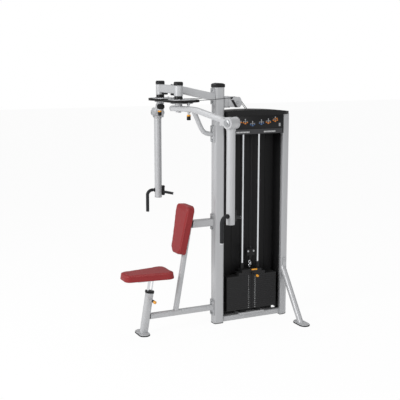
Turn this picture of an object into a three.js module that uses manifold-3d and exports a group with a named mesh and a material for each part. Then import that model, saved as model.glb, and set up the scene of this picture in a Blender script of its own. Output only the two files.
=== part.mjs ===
// Pectoral fly and rear deltoid machine with a selectorised weight tower.
// Millimetres, +Z up. Origin: on the floor under the centre of the main upright.
// -Y is the front (seat side), +Y the weight tower, +X the left-hand side of a seated user.
import * as THREE from 'three';
import { mergeVertices } from 'three/addons/utils/BufferGeometryUtils.js';
import Module from 'manifold-3d';

const wasm = await Module();
wasm.setup();

// ---------------------------------------------------------------- driving dimensions
const CLEAR = 0.3;                 // gap between pieces that touch
const WALL = 4;                    // wall of the frame tubes
const UPRIGHT = { width: 80, depth: 88, corner: 18, floor: 8, top: 1960, capHeight: 34, capOverhang: 4 };
const FLANGE = { width: 66, height: 132, thick: 6, boltSpacing: 110, boltRadius: 10, boltHead: 8 };
const BOOM = { size: 60, corner: 9, slope: 12.2, startZ: 1884 };
const CROSSBAR = { depth: 50, height: 62, corner: 8, z: 1953 };
const PIVOT = { x: 176, y: -428, housingRadius: 34, housingBottom: 1903.5, housingTop: 1986, capHeight: 27 };
const SHAFT = { radius: 15, nutRadius: 24, nutHeight: 10 };
const CAM = {
  radius: 138, thick: 14, bottom: 1860, inward: 21, back: 37, groove: 4, plate: 4.5, pinInset: 28,
  upperRadius: 106, lowerRadius: 88, lowerGap: 8, spacers: 4, spacerCircle: 70, spacerRadius: 7,
};
const ARM = {
  restAngle: 20.5, innerEnd: 62, bendAt: 172, length: 537, z: 1810, hubZ: 1728, width: 60, height: 40, corner: 14,
};
const HUB = { radius: 42, length: 84, frontEar: 26, cheek: 9, axleRadius: 12, nutRadius: 17, nutHeight: 7 };
const HANG_TUBE = { radius: 31.75, bottom: 985 };
const FLY_GRIP = { radius: 14.5, z: 1048, reach: 95, bend: 46, drop: 196 };
const REAR_GRIP = { radius: 12, z: 1036, reach: 134, inward: 9, droop: 8.5, bracketDepth: 25, bracketHeight: 88 };
const INDEX_PIN = { radial: CAM.radius - CAM.pinInset, radius: 4.7, holeRadius: 5.3, travel: 16, tip: 6, bottom: 1727, grip: 15.5 };
const BRACE = { radius: 19, startZ: 1588, topZ: 1790, postRadius: 10, postY: -262, postTop: 1846 };
const LINK = { width: 56, height: 62, corner: 12, z: 865 };
const BACK = { lean: 10, footY: -381, footZ: 162, width: 40, depth: 42, corner: 14, length: 782, plate: 4 };
const BACK_PAD = { thick: 60, bottom: 462, length: 412, topWidth: 256, bottomWidth: 178, topCorner: 62, bottomCorner: 48 };
const SEAT_BEAM = { width: 50, height: 44, corner: 12, z: 140 };
const SEAT_TUBE = { lean: 9.4, footY: -666, width: 56, depth: 64, corner: 22, top: 334, postY: -15, rodY: 17 };
const SEAT_POST = { radius: 11, rodRadius: 5.5, bottom: 130, carrierZ: 447 };
const SEAT_PIN = { height: 280, radius: 5, bossRadius: 11, shankRadius: 8, knobRadius: 13, length: 80 };
const SEAT_PAD = { top: 510, thick: 54, rear: -430, front: -842, rearWidth: 280, frontWidth: 168, corner: 46 };
const FOOT = { length: 172, width: 84, rubber: 8, plate: 6, padGrow: 3, seatOffset: -9 };
const REAR_UPRIGHT = { width: 90, front: 585, flat: 20, round: 60, top: 1733 };
const BASE_BEAM = { width: 60, bottom: 8, height: 45, plateLength: 240, plateWidth: 90, plateHeight: 12 };
const ROD = { radius: 9.5, spacing: 148, y: 307 };
const STACK = { width: 472, depth: 80, pitch: 17.3, gap: 1.2, plates: 17, bottom: 94, inset: 4 };
const FIRST_PLATE = { width: 251, height: 25.4 };
const HEAD = { width: 184, height: 21.7, sleeveRadius: 15, sleeveHeight: 54, selectorRadius: 11 };
const SELECTOR = { radius: 4.5, tip: -9, knobRadius: 10, reach: 146 };
const LEVER = { barRadius: 6.5, barLength: 52, reach: 82, pivotX: 22, pivotOffset: 15, armWidth: 14 };
const LIFT = { stemRadius: 7, blockBottom: 520, blockTop: 612, blockWidth: 76, blockDepth: 40 };
const TOP_PLATE = { width: 90, z: 1640, thick: 8 };
const HEADER = { near: 85, far: -95, front: 48, rear: 578, bottom: 1580, top: 1733, wall: 5 };
const TOP_CAP = { rear: 652, crown: 46, frontHeight: 36, rearHeight: 22, overhang: 3 };
const SHROUD = { wall: 4, bottom: 58, skirt: 12, returnTo: 20 };
const GUIDE = { width: 60, bottom: 1797, top: 1888, beamEnd: 96, cheekX: 32, cheekThick: 5, axleY: 160, axleZ: 1838 };
const SHEAVE = { radius: 42, groove: 5, thick: 18, bore: 8, x: 14 };
const CABLE = { radius: 2.5, sides: 8, lift: 2 };
const LEG = { radius: 25, angle: 35.7, footX: 342, footY: 616, saddleHeight: 104, saddleDepth: 34, saddleThick: 6 };

// ---------------------------------------------------------------- helpers
const radians = THREE.MathUtils.degToRad;
const machine = new THREE.Group();

const FINISHES = {
  frame: { color: 0xb6b8ba, roughness: 0.42, metalness: 0.55 },
  chrome: { color: 0xd9dbde, roughness: 0.12, metalness: 1.0 },
  black: { color: 0x1c1d1f, roughness: 0.55, metalness: 0.0 },
  rubber: { color: 0x161617, roughness: 0.85, metalness: 0.0 },
  iron: { color: 0x2a2a2b, roughness: 0.6, metalness: 0.3 },
  yellow: { color: 0xe2a12c, roughness: 0.4, metalness: 0.0 },
  pad: { color: 0x913434, roughness: 0.5, metalness: 0.0 },
};

function solid(geometry) {
  const bare = geometry.clone();
  bare.deleteAttribute('normal');
  bare.deleteAttribute('uv');
  const merged = mergeVertices(bare, 1e-4);
  const triVerts = new Uint32Array(merged.index.array);
  const vertProperties = new Float32Array(merged.attributes.position.array);
  return new wasm.Manifold(new wasm.Mesh({ numProp: 3, vertProperties, triVerts }));
}

function geometryOf(manifold) {
  const mesh = manifold.getMesh();
  const geometry = new THREE.BufferGeometry();
  geometry.setAttribute('position', new THREE.BufferAttribute(mesh.vertProperties.slice(), 3));
  geometry.setIndex(new THREE.BufferAttribute(mesh.triVerts.slice(), 1));
  return geometry;
}

function piece(name, shape, finish, parent = machine) {
  const geometry = shape.isBufferGeometry ? shape : geometryOf(shape);
  const mesh = new THREE.Mesh(geometry, new THREE.MeshStandardMaterial(FINISHES[finish]));
  mesh.name = name;
  parent.add(mesh);
  return mesh;
}

function join(first, ...others) {
  return others.reduce((whole, other) => whole.add(other), first);
}

function cut(first, ...others) {
  return others.reduce((rest, other) => rest.subtract(other), first);
}

function moved(geometry, x, y, z) {
  return geometry.translate(x, y, z);
}

function box(xRange, yRange, zRange) {
  const [x0, x1] = xRange;
  const [y0, y1] = yRange;
  const [z0, z1] = zRange;
  const geometry = new THREE.BoxGeometry(x1 - x0, y1 - y0, z1 - z0);
  return solid(moved(geometry, (x0 + x1) / 2, (y0 + y1) / 2, (z0 + z1) / 2));
}

// A round bar between two points.
function bar(from, to, radius, sides = 24) {
  const a = new THREE.Vector3(...from);
  const b = new THREE.Vector3(...to);
  const geometry = new THREE.CylinderGeometry(radius, radius, a.distanceTo(b), sides);
  const up = new THREE.Vector3(0, 1, 0);
  const turn = new THREE.Quaternion().setFromUnitVectors(up, b.clone().sub(a).normalize());
  geometry.applyQuaternion(turn);
  const middle = a.add(b).multiplyScalar(0.5);
  return solid(moved(geometry, middle.x, middle.y, middle.z));
}

// Rectangle with round corners, centred on the origin.
function roundedRect(width, height, corner, Kind = THREE.Shape) {
  const x = width / 2 - corner;
  const y = height / 2 - corner;
  const shape = new Kind();
  shape.absarc(x, y, corner, 0, Math.PI / 2);
  shape.absarc(-x, y, corner, Math.PI / 2, Math.PI);
  shape.absarc(-x, -y, corner, Math.PI, Math.PI * 1.5);
  shape.absarc(x, -y, corner, Math.PI * 1.5, Math.PI * 2);
  return shape;
}

function hollowRect(width, height, corner, wall = WALL) {
  const shape = roundedRect(width, height, corner);
  const inner = Math.max(corner - wall, 1);
  shape.holes.push(roundedRect(width - 2 * wall, height - 2 * wall, inner, THREE.Path));
  return shape;
}

function prism(shape, from, to, curveSegments = 2) {
  const geometry = new THREE.ExtrudeGeometry(shape, { depth: to - from, bevelEnabled: false, curveSegments });
  return moved(geometry, 0, 0, from);
}

// Extrudes along a flat path drawn in the XY plane: the section's width is across that plane.
function sweep(shape, path, steps, curveSegments = 2) {
  return new THREE.ExtrudeGeometry(shape, { extrudePath: path, steps, bevelEnabled: false, curveSegments });
}

// Turns geometry drawn as (distance forward, height) into the machine's middle plane.
function inSidePlane(geometry) {
  return geometry.rotateX(Math.PI / 2).rotateZ(-Math.PI / 2);
}

function point(x, y) {
  return new THREE.Vector3(x, y, 0);
}

function turnedSolid(points, sides = 28) {
  const profile = points.map(([r, z]) => new THREE.Vector2(r, z));
  return new THREE.LatheGeometry(profile, sides).rotateX(Math.PI / 2);
}

function stadium(length, width) {
  const shape = new THREE.Shape();
  const half = (length - width) / 2;
  shape.absarc(half, 0, width / 2, -Math.PI / 2, Math.PI / 2);
  shape.absarc(-half, 0, width / 2, Math.PI / 2, Math.PI * 1.5);
  return shape;
}

// Bolted flange on the front of the main upright, with one bolt above and one below the tube.
function flange(z) {
  const face = -UPRIGHT.depth / 2 - CLEAR;
  const plate = inSidePlane(new THREE.BoxGeometry(FLANGE.thick, FLANGE.height, FLANGE.width));
  const whole = solid(moved(plate, 0, face - FLANGE.thick / 2, z));
  const bolts = [-1, 1].map((end) => {
    const boltZ = z + end * FLANGE.boltSpacing / 2;
    const headFace = face - FLANGE.thick - FLANGE.boltHead;
    return bar([0, face - 1, boltZ], [0, headFace, boltZ], FLANGE.boltRadius, 6);
  });
  return join(whole, ...bolts);
}

const flangeFront = UPRIGHT.depth / 2 + CLEAR + FLANGE.thick;

// ---------------------------------------------------------------- main upright
function buildMainUpright() {
  const section = hollowRect(UPRIGHT.width, UPRIGHT.depth, UPRIGHT.corner);
  const closing = prism(roundedRect(UPRIGHT.width, UPRIGHT.depth, UPRIGHT.corner), 0, UPRIGHT.floor);
  piece('main_upright', join(solid(prism(section, 0, UPRIGHT.top)), solid(closing)), 'frame');

  const crown = new THREE.Shape();
  const half = UPRIGHT.depth / 2 + UPRIGHT.capOverhang;
  const side = UPRIGHT.width / 2 + UPRIGHT.capOverhang;
  const rim = UPRIGHT.capHeight * 0.62;
  crown.moveTo(-half, 0);
  crown.lineTo(half, 0);
  crown.lineTo(half, rim);
  crown.quadraticCurveTo(0, UPRIGHT.capHeight * 1.38, -half, rim);
  const arch = prism(crown, -side, side, 8);
  inSidePlane(arch);
  const outline = prism(roundedRect(2 * side, 2 * half, UPRIGHT.corner), -1, UPRIGHT.capHeight + 5);
  const cap = solid(arch).intersect(solid(outline));
  piece('main_upright_cap', cap, 'black').position.z = UPRIGHT.top + CLEAR;
}

// ---------------------------------------------------------------- boom, crossbar and pivot housings
function buildPivotFrame() {
  const crossRear = -PIVOT.y - CROSSBAR.depth / 2;
  const slope = Math.tan(radians(BOOM.slope));
  const start = flangeFront - 2;
  const end = crossRear + 30;
  const line = (inset) => new THREE.LineCurve3(
    point(start + inset, BOOM.startZ + inset * slope), point(end, BOOM.startZ + (end - start) * slope));
  const outer = inSidePlane(sweep(roundedRect(BOOM.size, BOOM.size, BOOM.corner), line(-10), 1));
  const inner = inSidePlane(sweep(
    roundedRect(BOOM.size - 2 * WALL, BOOM.size - 2 * WALL, BOOM.corner - WALL), line(8), 1));
  const beyond = box([-60, 60], [-end - 50, -crossRear + CLEAR], [BOOM.startZ - 100, BOOM.startZ + 300]);
  const behind = box([-60, 60], [-flangeFront, 0], [BOOM.startZ - 100, BOOM.startZ + 300]);
  const boom = join(cut(solid(outer), behind), flange(BOOM.startZ + 6));
  piece('boom_tube', cut(boom, solid(inner), beyond), 'frame');

  const crossLength = 2 * PIVOT.x;
  const section = hollowRect(CROSSBAR.height, CROSSBAR.depth, CROSSBAR.corner);
  const crossbar = solid(prism(section, -crossLength / 2, crossLength / 2).rotateY(Math.PI / 2));
  const copes = [-1, 1].map((side) => bar(
    [side * PIVOT.x, 0, -100], [side * PIVOT.x, 0, 100], PIVOT.housingRadius + CLEAR, 32));
  piece('pivot_crossbar', cut(crossbar, ...copes), 'frame').position.set(0, PIVOT.y, CROSSBAR.z);

  for (const [name, side] of [['left', 1], ['right', -1]]) {
    const housing = turnedSolid([
      [SHAFT.radius + CLEAR, PIVOT.housingBottom], [PIVOT.housingRadius, PIVOT.housingBottom],
      [PIVOT.housingRadius, PIVOT.housingTop], [SHAFT.radius + CLEAR, PIVOT.housingTop],
      [SHAFT.radius + CLEAR, PIVOT.housingBottom]], 32);
    piece(`pivot_housing_${name}`, housing, 'frame').position.set(side * PIVOT.x, PIVOT.y, 0);
    const r = PIVOT.housingRadius + 2;
    const h = PIVOT.capHeight - CLEAR;
    const cap = turnedSolid([[0, 0], [r - 1, 0], [r, 2], [r, h * 0.7], [r - 3, h * 0.9], [r - 8, h], [0, h]]);
    piece(`pivot_cap_${name}`, cap, 'black').position.set(side * PIVOT.x, PIVOT.y, PIVOT.housingTop + CLEAR);
  }
}

// ---------------------------------------------------------------- curved brace with the arm stop
function buildBrace() {
  const topY = 226;
  const path = new THREE.CatmullRomCurve3([
    point(flangeFront - 4, BRACE.startZ - 4), point(flangeFront + 32, BRACE.startZ + 2),
    point(125, BRACE.startZ + 17), point(156, BRACE.startZ + 60), point(182, BRACE.startZ + 116),
    point(topY, BRACE.topZ + 4)]);
  const tube = solid(inSidePlane(sweep(new THREE.Shape().absarc(0, 0, BRACE.radius, 0, Math.PI * 2), path, 14, 8)));
  const behind = box([-60, 60], [-flangeFront + 1, 0], [BRACE.startZ - 100, BRACE.startZ + 100]);
  const above = box([-60, 60], [-400, -60], [BRACE.topZ, BRACE.topZ + 80]);
  const plate = box([-45, 45], [BRACE.postY - 22, BRACE.postY + 66], [BRACE.topZ - 1, BRACE.topZ + 7]);
  const post = bar([0, BRACE.postY, BRACE.topZ], [0, BRACE.postY, BRACE.postTop], BRACE.postRadius, 20);
  piece('curved_brace', join(cut(tube, behind, above), plate, post, flange(BRACE.startZ)), 'frame');
}

// ---------------------------------------------------------------- cams and swing arms
function camDisc(side) {
  const r = CAM.radius;
  const mid = CAM.thick / 2;
  const lip = 5;
  const disc = turnedSolid([
    [0, 0], [r, 0], [r, mid - lip + 2], [r - CAM.groove, mid - 2], [r - CAM.groove, mid + 2],
    [r, mid + lip - 2], [r, CAM.thick], [0, CAM.thick]], 40);
  return solid(moved(disc, -side * CAM.inward, CAM.back, CAM.bottom));
}

// Arc slot that the index pin's tip stands in, round the pivot.
function indexSlot(side) {
  const to = radians(ARM.restAngle);
  const from = to - radians(INDEX_PIN.travel);
  const points = [];
  const arc = (x, y, r, start, end, steps) => {
    for (let i = 0; i <= steps; i += 1) {
      const angle = start + (end - start) * i / steps;
      points.push(new THREE.Vector2(side * (x + r * Math.cos(angle)), y + r * Math.sin(angle)));
    }
  };
  const { radial, holeRadius } = INDEX_PIN;
  arc(0, 0, radial + holeRadius, from, to, 6);
  arc(radial * Math.cos(to), radial * Math.sin(to), holeRadius, to + 0.3, to + Math.PI - 0.3, 6);
  arc(0, 0, radial - holeRadius, to, from, 6);
  arc(radial * Math.cos(from), radial * Math.sin(from), holeRadius, from + Math.PI + 0.3, from + 2 * Math.PI - 0.3, 6);
  return solid(prism(new THREE.Shape(points), CAM.bottom - 10, CAM.bottom + CAM.thick + 10));
}

function camShaft(side) {
  const armTop = ARM.z + ARM.height / 2 + CLEAR;
  const camTop = CAM.bottom + CAM.thick;
  const nutTop = ARM.z - ARM.height / 2 - CLEAR;
  const z = [nutTop - SHAFT.nutHeight, PIVOT.housingTop - 1];
  const shaft = bar([0, 0, z[0]], [0, 0, z[1]], SHAFT.radius, 20);
  const nut = bar([0, 0, z[0]], [0, 0, nutTop], SHAFT.nutRadius, 6);
  const boss = bar([0, 0, armTop], [0, 0, CAM.bottom - CLEAR - 1], 30, 20);
  const collar = bar([0, 0, camTop + CLEAR + 1], [0, 0, PIVOT.housingBottom - CLEAR], 28, 20);
  const centre = [-side * CAM.inward, CAM.back];
  const lowerTop = CAM.bottom - CLEAR - CAM.lowerGap;
  const lower = bar([...centre, lowerTop - CAM.plate], [...centre, lowerTop], CAM.lowerRadius, 32);
  const upper = bar([...centre, camTop + CLEAR], [...centre, camTop + CLEAR + CAM.plate], CAM.upperRadius, 36);
  const spacers = [...Array(CAM.spacers).keys()].map((i) => {
    const angle = Math.PI * (2 * i + 1) / CAM.spacers;
    const x = centre[0] + CAM.spacerCircle * Math.cos(angle);
    const y = centre[1] + CAM.spacerCircle * Math.sin(angle);
    return bar([x, y, lowerTop - 1], [x, y, CAM.bottom - CLEAR], CAM.spacerRadius, 12);
  });
  return join(shaft, nut, boss, collar, lower, upper, ...spacers);
}

function swingArm(forward) {
  const slope = Math.atan2(ARM.z - ARM.hubZ, ARM.length - ARM.bendAt);
  const bridge = HUB.radius + 8;
  const tubeEnd = ARM.length - bridge * Math.cos(slope);
  const endZ = ARM.hubZ + bridge * Math.sin(slope);
  const path = new THREE.CurvePath();
  const bend = 40;
  const bendOut = point(ARM.bendAt + bend * Math.cos(slope), ARM.z - bend * Math.sin(slope));
  path.add(new THREE.LineCurve3(point(-ARM.innerEnd, ARM.z), point(ARM.bendAt - bend, ARM.z)));
  path.add(new THREE.QuadraticBezierCurve3(
    point(ARM.bendAt - bend, ARM.z), point(ARM.bendAt, ARM.z), bendOut));
  path.add(new THREE.LineCurve3(bendOut, point(tubeEnd, endZ)));
  const tube = solid(sweep(roundedRect(ARM.width, ARM.height, ARM.corner), path, 16, 1).rotateX(Math.PI / 2));
  const hollow = roundedRect(ARM.width - 2 * WALL, ARM.height - 2 * WALL, ARM.corner - WALL);
  const inner = new THREE.LineCurve3(point(-ARM.innerEnd - 5, ARM.z), point(-SHAFT.radius - 12, ARM.z));
  const mouth = solid(sweep(hollow, inner, 1, 1).rotateX(Math.PI / 2));

  const hubHalf = HUB.length / 2 + 0.5;
  const cheekOuter = hubHalf + HUB.cheek;
  const axis = (y) => [ARM.length, y, ARM.hubZ];
  const cheeks = [-1, 1].map((side) => {
    const ear = side === forward ? HUB.frontEar : HUB.radius + 2;
    const round = bar(axis(side * hubHalf), axis(side * cheekOuter), ear, 28);
    const yRange = side > 0 ? [hubHalf, cheekOuter] : [-cheekOuter, -hubHalf];
    const web = box([-bridge - 4, 0], yRange, [-Math.min(ear, 30), Math.min(ear, 26) - 1]);
    return join(round, web.rotate([0, THREE.MathUtils.radToDeg(slope), 0]).translate(axis(0)));
  });
  const bridgeBlock = box([-bridge - 12, -HUB.radius - 2], [-cheekOuter, cheekOuter], [-30, 26])
    .rotate([0, THREE.MathUtils.radToDeg(slope), 0]).translate(axis(0));
  const shaftBore = bar([0, 0, ARM.z - 60], [0, 0, ARM.z + 60], SHAFT.radius + CLEAR, 20);
  const pinBore = bar([INDEX_PIN.radial, 0, ARM.z - 60], [INDEX_PIN.radial, 0, ARM.z + 60], INDEX_PIN.holeRadius, 12);
  const axleBore = bar(axis(-100), axis(100), HUB.axleRadius + CLEAR, 16);
  return cut(join(tube, ...cheeks, bridgeBlock), mouth, shaftBore, pinBore, axleBore);
}

function hangTube() {
  const hub = bar([ARM.length, -HUB.length / 2, ARM.hubZ], [ARM.length, HUB.length / 2, ARM.hubZ], HUB.radius, 28);
  const tube = bar([ARM.length, 0, HANG_TUBE.bottom], [ARM.length, 0, ARM.hubZ], HANG_TUBE.radius, 24);
  const inside = bar(
    [ARM.length, 0, HANG_TUBE.bottom - 5], [ARM.length, 0, ARM.hubZ - HUB.radius - 4], HANG_TUBE.radius - WALL, 20);
  const bore = bar([ARM.length, -60, ARM.hubZ], [ARM.length, 60, ARM.hubZ], HUB.axleRadius + CLEAR, 16);
  return cut(join(hub, tube), inside, bore);
}

function hubAxle() {
  const end = HUB.length / 2 + 0.5 + HUB.cheek + CLEAR;
  const axis = (y) => [ARM.length, y, ARM.hubZ];
  const nuts = [-1, 1].map((side) => bar(axis(side * end), axis(side * (end + HUB.nutHeight)), HUB.nutRadius, 6));
  return join(bar(axis(-end - 2), axis(end + 2), HUB.axleRadius, 16), ...nuts);
}

// Fly grip: leaves the hanging tube forwards, then bends down.
function flyGrip(forward) {
  const path = new THREE.CurvePath();
  const start = HANG_TUBE.radius - 12;
  const corner = point(FLY_GRIP.reach, FLY_GRIP.z);
  const bendFrom = point(FLY_GRIP.reach - FLY_GRIP.bend, FLY_GRIP.z);
  const bendTo = point(FLY_GRIP.reach, FLY_GRIP.z - FLY_GRIP.bend);
  path.add(new THREE.LineCurve3(point(start, FLY_GRIP.z), bendFrom));
  path.add(new THREE.QuadraticBezierCurve3(bendFrom, corner, bendTo));
  path.add(new THREE.LineCurve3(bendTo, point(FLY_GRIP.reach, FLY_GRIP.z - FLY_GRIP.drop)));
  const section = new THREE.Shape().absarc(0, 0, FLY_GRIP.radius, 0, Math.PI * 2);
  const cane = sweep(section, path, 18, 6).rotateX(Math.PI / 2).rotateZ(forward * Math.PI / 2);
  return cut(solid(moved(cane, ARM.length, 0, 0)), tubeSpace());
}

function tubeSpace() {
  return bar([ARM.length, 0, 900], [ARM.length, 0, 1300], HANG_TUBE.radius + CLEAR, 24);
}

// Rear deltoid grip: a short bar and its bracket behind the hanging tube.
function rearGrip(back) {
  const reach = REAR_GRIP.reach;
  const from = [ARM.length, back * (HANG_TUBE.radius - 10), REAR_GRIP.z];
  const to = [
    ARM.length - reach * Math.sin(radians(REAR_GRIP.inward)), back * reach,
    REAR_GRIP.z - reach * Math.sin(radians(REAR_GRIP.droop))];
  const grip = bar(from, to, REAR_GRIP.radius, 16);
  const depth = [HANG_TUBE.radius - 14, HANG_TUBE.radius + REAR_GRIP.bracketDepth].map((y) => back * y);
  depth.sort((a, b) => a - b);
  const middle = REAR_GRIP.z + 8;
  const half = REAR_GRIP.bracketHeight / 2;
  const bracket = box([ARM.length - 13, ARM.length + 13], depth, [middle - half, middle + half]);
  return cut(join(grip, bracket), tubeSpace());
}

function indexPin() {
  const armBottom = ARM.z - ARM.height / 2;
  const top = CAM.bottom + INDEX_PIN.tip;
  const b = INDEX_PIN.bottom;
  const pin = turnedSolid([
    [0, b], [INDEX_PIN.grip - 3, b], [INDEX_PIN.grip, b + 3], [INDEX_PIN.grip, b + 24],
    [INDEX_PIN.grip - 2, b + 30], [INDEX_PIN.grip - 2, b + 42], [7.5, b + 43],
    [7.5, armBottom - CLEAR], [INDEX_PIN.radius, armBottom - CLEAR], [INDEX_PIN.radius, top], [0, top]], 16);
  return moved(pin, INDEX_PIN.radial, 0, 0);
}

function buildArms() {
  for (const [name, side] of [['left', 1], ['right', -1]]) {
    const pivot = new THREE.Group();
    pivot.position.set(side * PIVOT.x, PIVOT.y, 0);
    machine.add(pivot);
    const bore = bar([0, 0, CAM.bottom - 10], [0, 0, CAM.bottom + CAM.thick + 10], SHAFT.radius + CLEAR, 20);
    piece(`cam_${name}`, cut(camDisc(side), bore, indexSlot(side)), 'black', pivot);
    piece(`cam_shaft_${name}`, camShaft(side), 'frame', pivot);

    const arm = new THREE.Group();
    arm.rotation.z = side > 0 ? radians(ARM.restAngle) : Math.PI - radians(ARM.restAngle);
    pivot.add(arm);
    piece(`swing_arm_${name}`, swingArm(-side), 'frame', arm);
    piece(`hub_axle_${name}`, hubAxle(), 'chrome', arm);
    piece(`hang_tube_${name}`, hangTube(), 'frame', arm);
    piece(`fly_grip_${name}`, flyGrip(-side), 'rubber', arm);
    piece(`rear_grip_${name}`, rearGrip(side), 'rubber', arm);
    piece(`index_pin_${name}`, indexPin(), 'yellow', arm);
  }
}

// ---------------------------------------------------------------- back support and pad
function buildBack() {
  const lean = radians(BACK.lean);
  const tube = new THREE.Group();
  tube.position.set(0, BACK.footY, BACK.footZ);
  tube.rotation.x = -lean;
  machine.add(tube);
  const section = hollowRect(BACK.width, BACK.depth, BACK.corner);
  const post = solid(prism(section, -20, BACK.length));
  const beamTop = box([-80, 80], [-200, 200], [-200, CLEAR]).rotate([BACK.lean, 0, 0]);
  const padBack = -BACK.depth / 2 - BACK.plate;
  const plates = [BACK_PAD.bottom + 90, BACK_PAD.bottom + 232].map((z) => box(
    [-60, 60], [padBack, -BACK.depth / 2 + 1], [z - 35, z + 35]));
  piece('back_support_tube', join(cut(post, beamTop), ...plates), 'frame', tube);

  const pad = prism(padOutline(
    BACK_PAD.bottomWidth, BACK_PAD.topWidth, BACK_PAD.length, BACK_PAD.bottomCorner, BACK_PAD.topCorner),
  0, BACK_PAD.thick, 5).rotateX(Math.PI / 2);
  const mesh = piece('back_pad', pad, 'pad', tube);
  mesh.position.set(0, padBack - CLEAR, BACK_PAD.bottom);

  const tubeRear = (z) => BACK.footY + (z - BACK.footZ) * Math.tan(lean) + BACK.depth / 2 / Math.cos(lean);
  const line = new THREE.LineCurve3(point(flangeFront - 1, LINK.z), point(-tubeRear(LINK.z) + 60, LINK.z));
  const inner = new THREE.LineCurve3(point(flangeFront + 8, LINK.z), point(-tubeRear(LINK.z) + 60, LINK.z));
  const beam = solid(inSidePlane(sweep(roundedRect(LINK.width, LINK.height, LINK.corner), line, 1)));
  const hollow = roundedRect(LINK.width - 2 * WALL, LINK.height - 2 * WALL, LINK.corner - WALL);
  const beyond = box([-80, 80], [-300, BACK.depth / 2 + CLEAR], [0, 1200])
    .rotate([-BACK.lean, 0, 0]).translate([0, BACK.footY, BACK.footZ]);
  const link = cut(join(beam, flange(LINK.z)), solid(inSidePlane(sweep(hollow, inner, 1))), beyond);
  piece('back_link_tube', link, 'frame');
}

// Tapered outline with round corners, from its narrow edge at 0 to its wide edge at length.
function padOutline(narrow, wide, length, narrowCorner, wideCorner) {
  const corners = [
    [-narrow / 2, 0, narrowCorner], [narrow / 2, 0, narrowCorner],
    [wide / 2, length, wideCorner], [-wide / 2, length, wideCorner]];
  const shape = new THREE.Shape();
  corners.forEach(([x, y, radius], i) => {
    const corner = new THREE.Vector2(x, y);
    const before = new THREE.Vector2(...corners[(i + 3) % 4]).sub(corner).normalize().multiplyScalar(radius);
    const after = new THREE.Vector2(...corners[(i + 1) % 4]).sub(corner).normalize().multiplyScalar(radius);
    const into = corner.clone().add(before);
    const out = corner.clone().add(after);
    if (i === 0) shape.moveTo(into.x, into.y);
    else shape.lineTo(into.x, into.y);
    shape.quadraticCurveTo(corner.x, corner.y, out.x, out.y);
  });
  shape.closePath();
  return shape;
}

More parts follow.
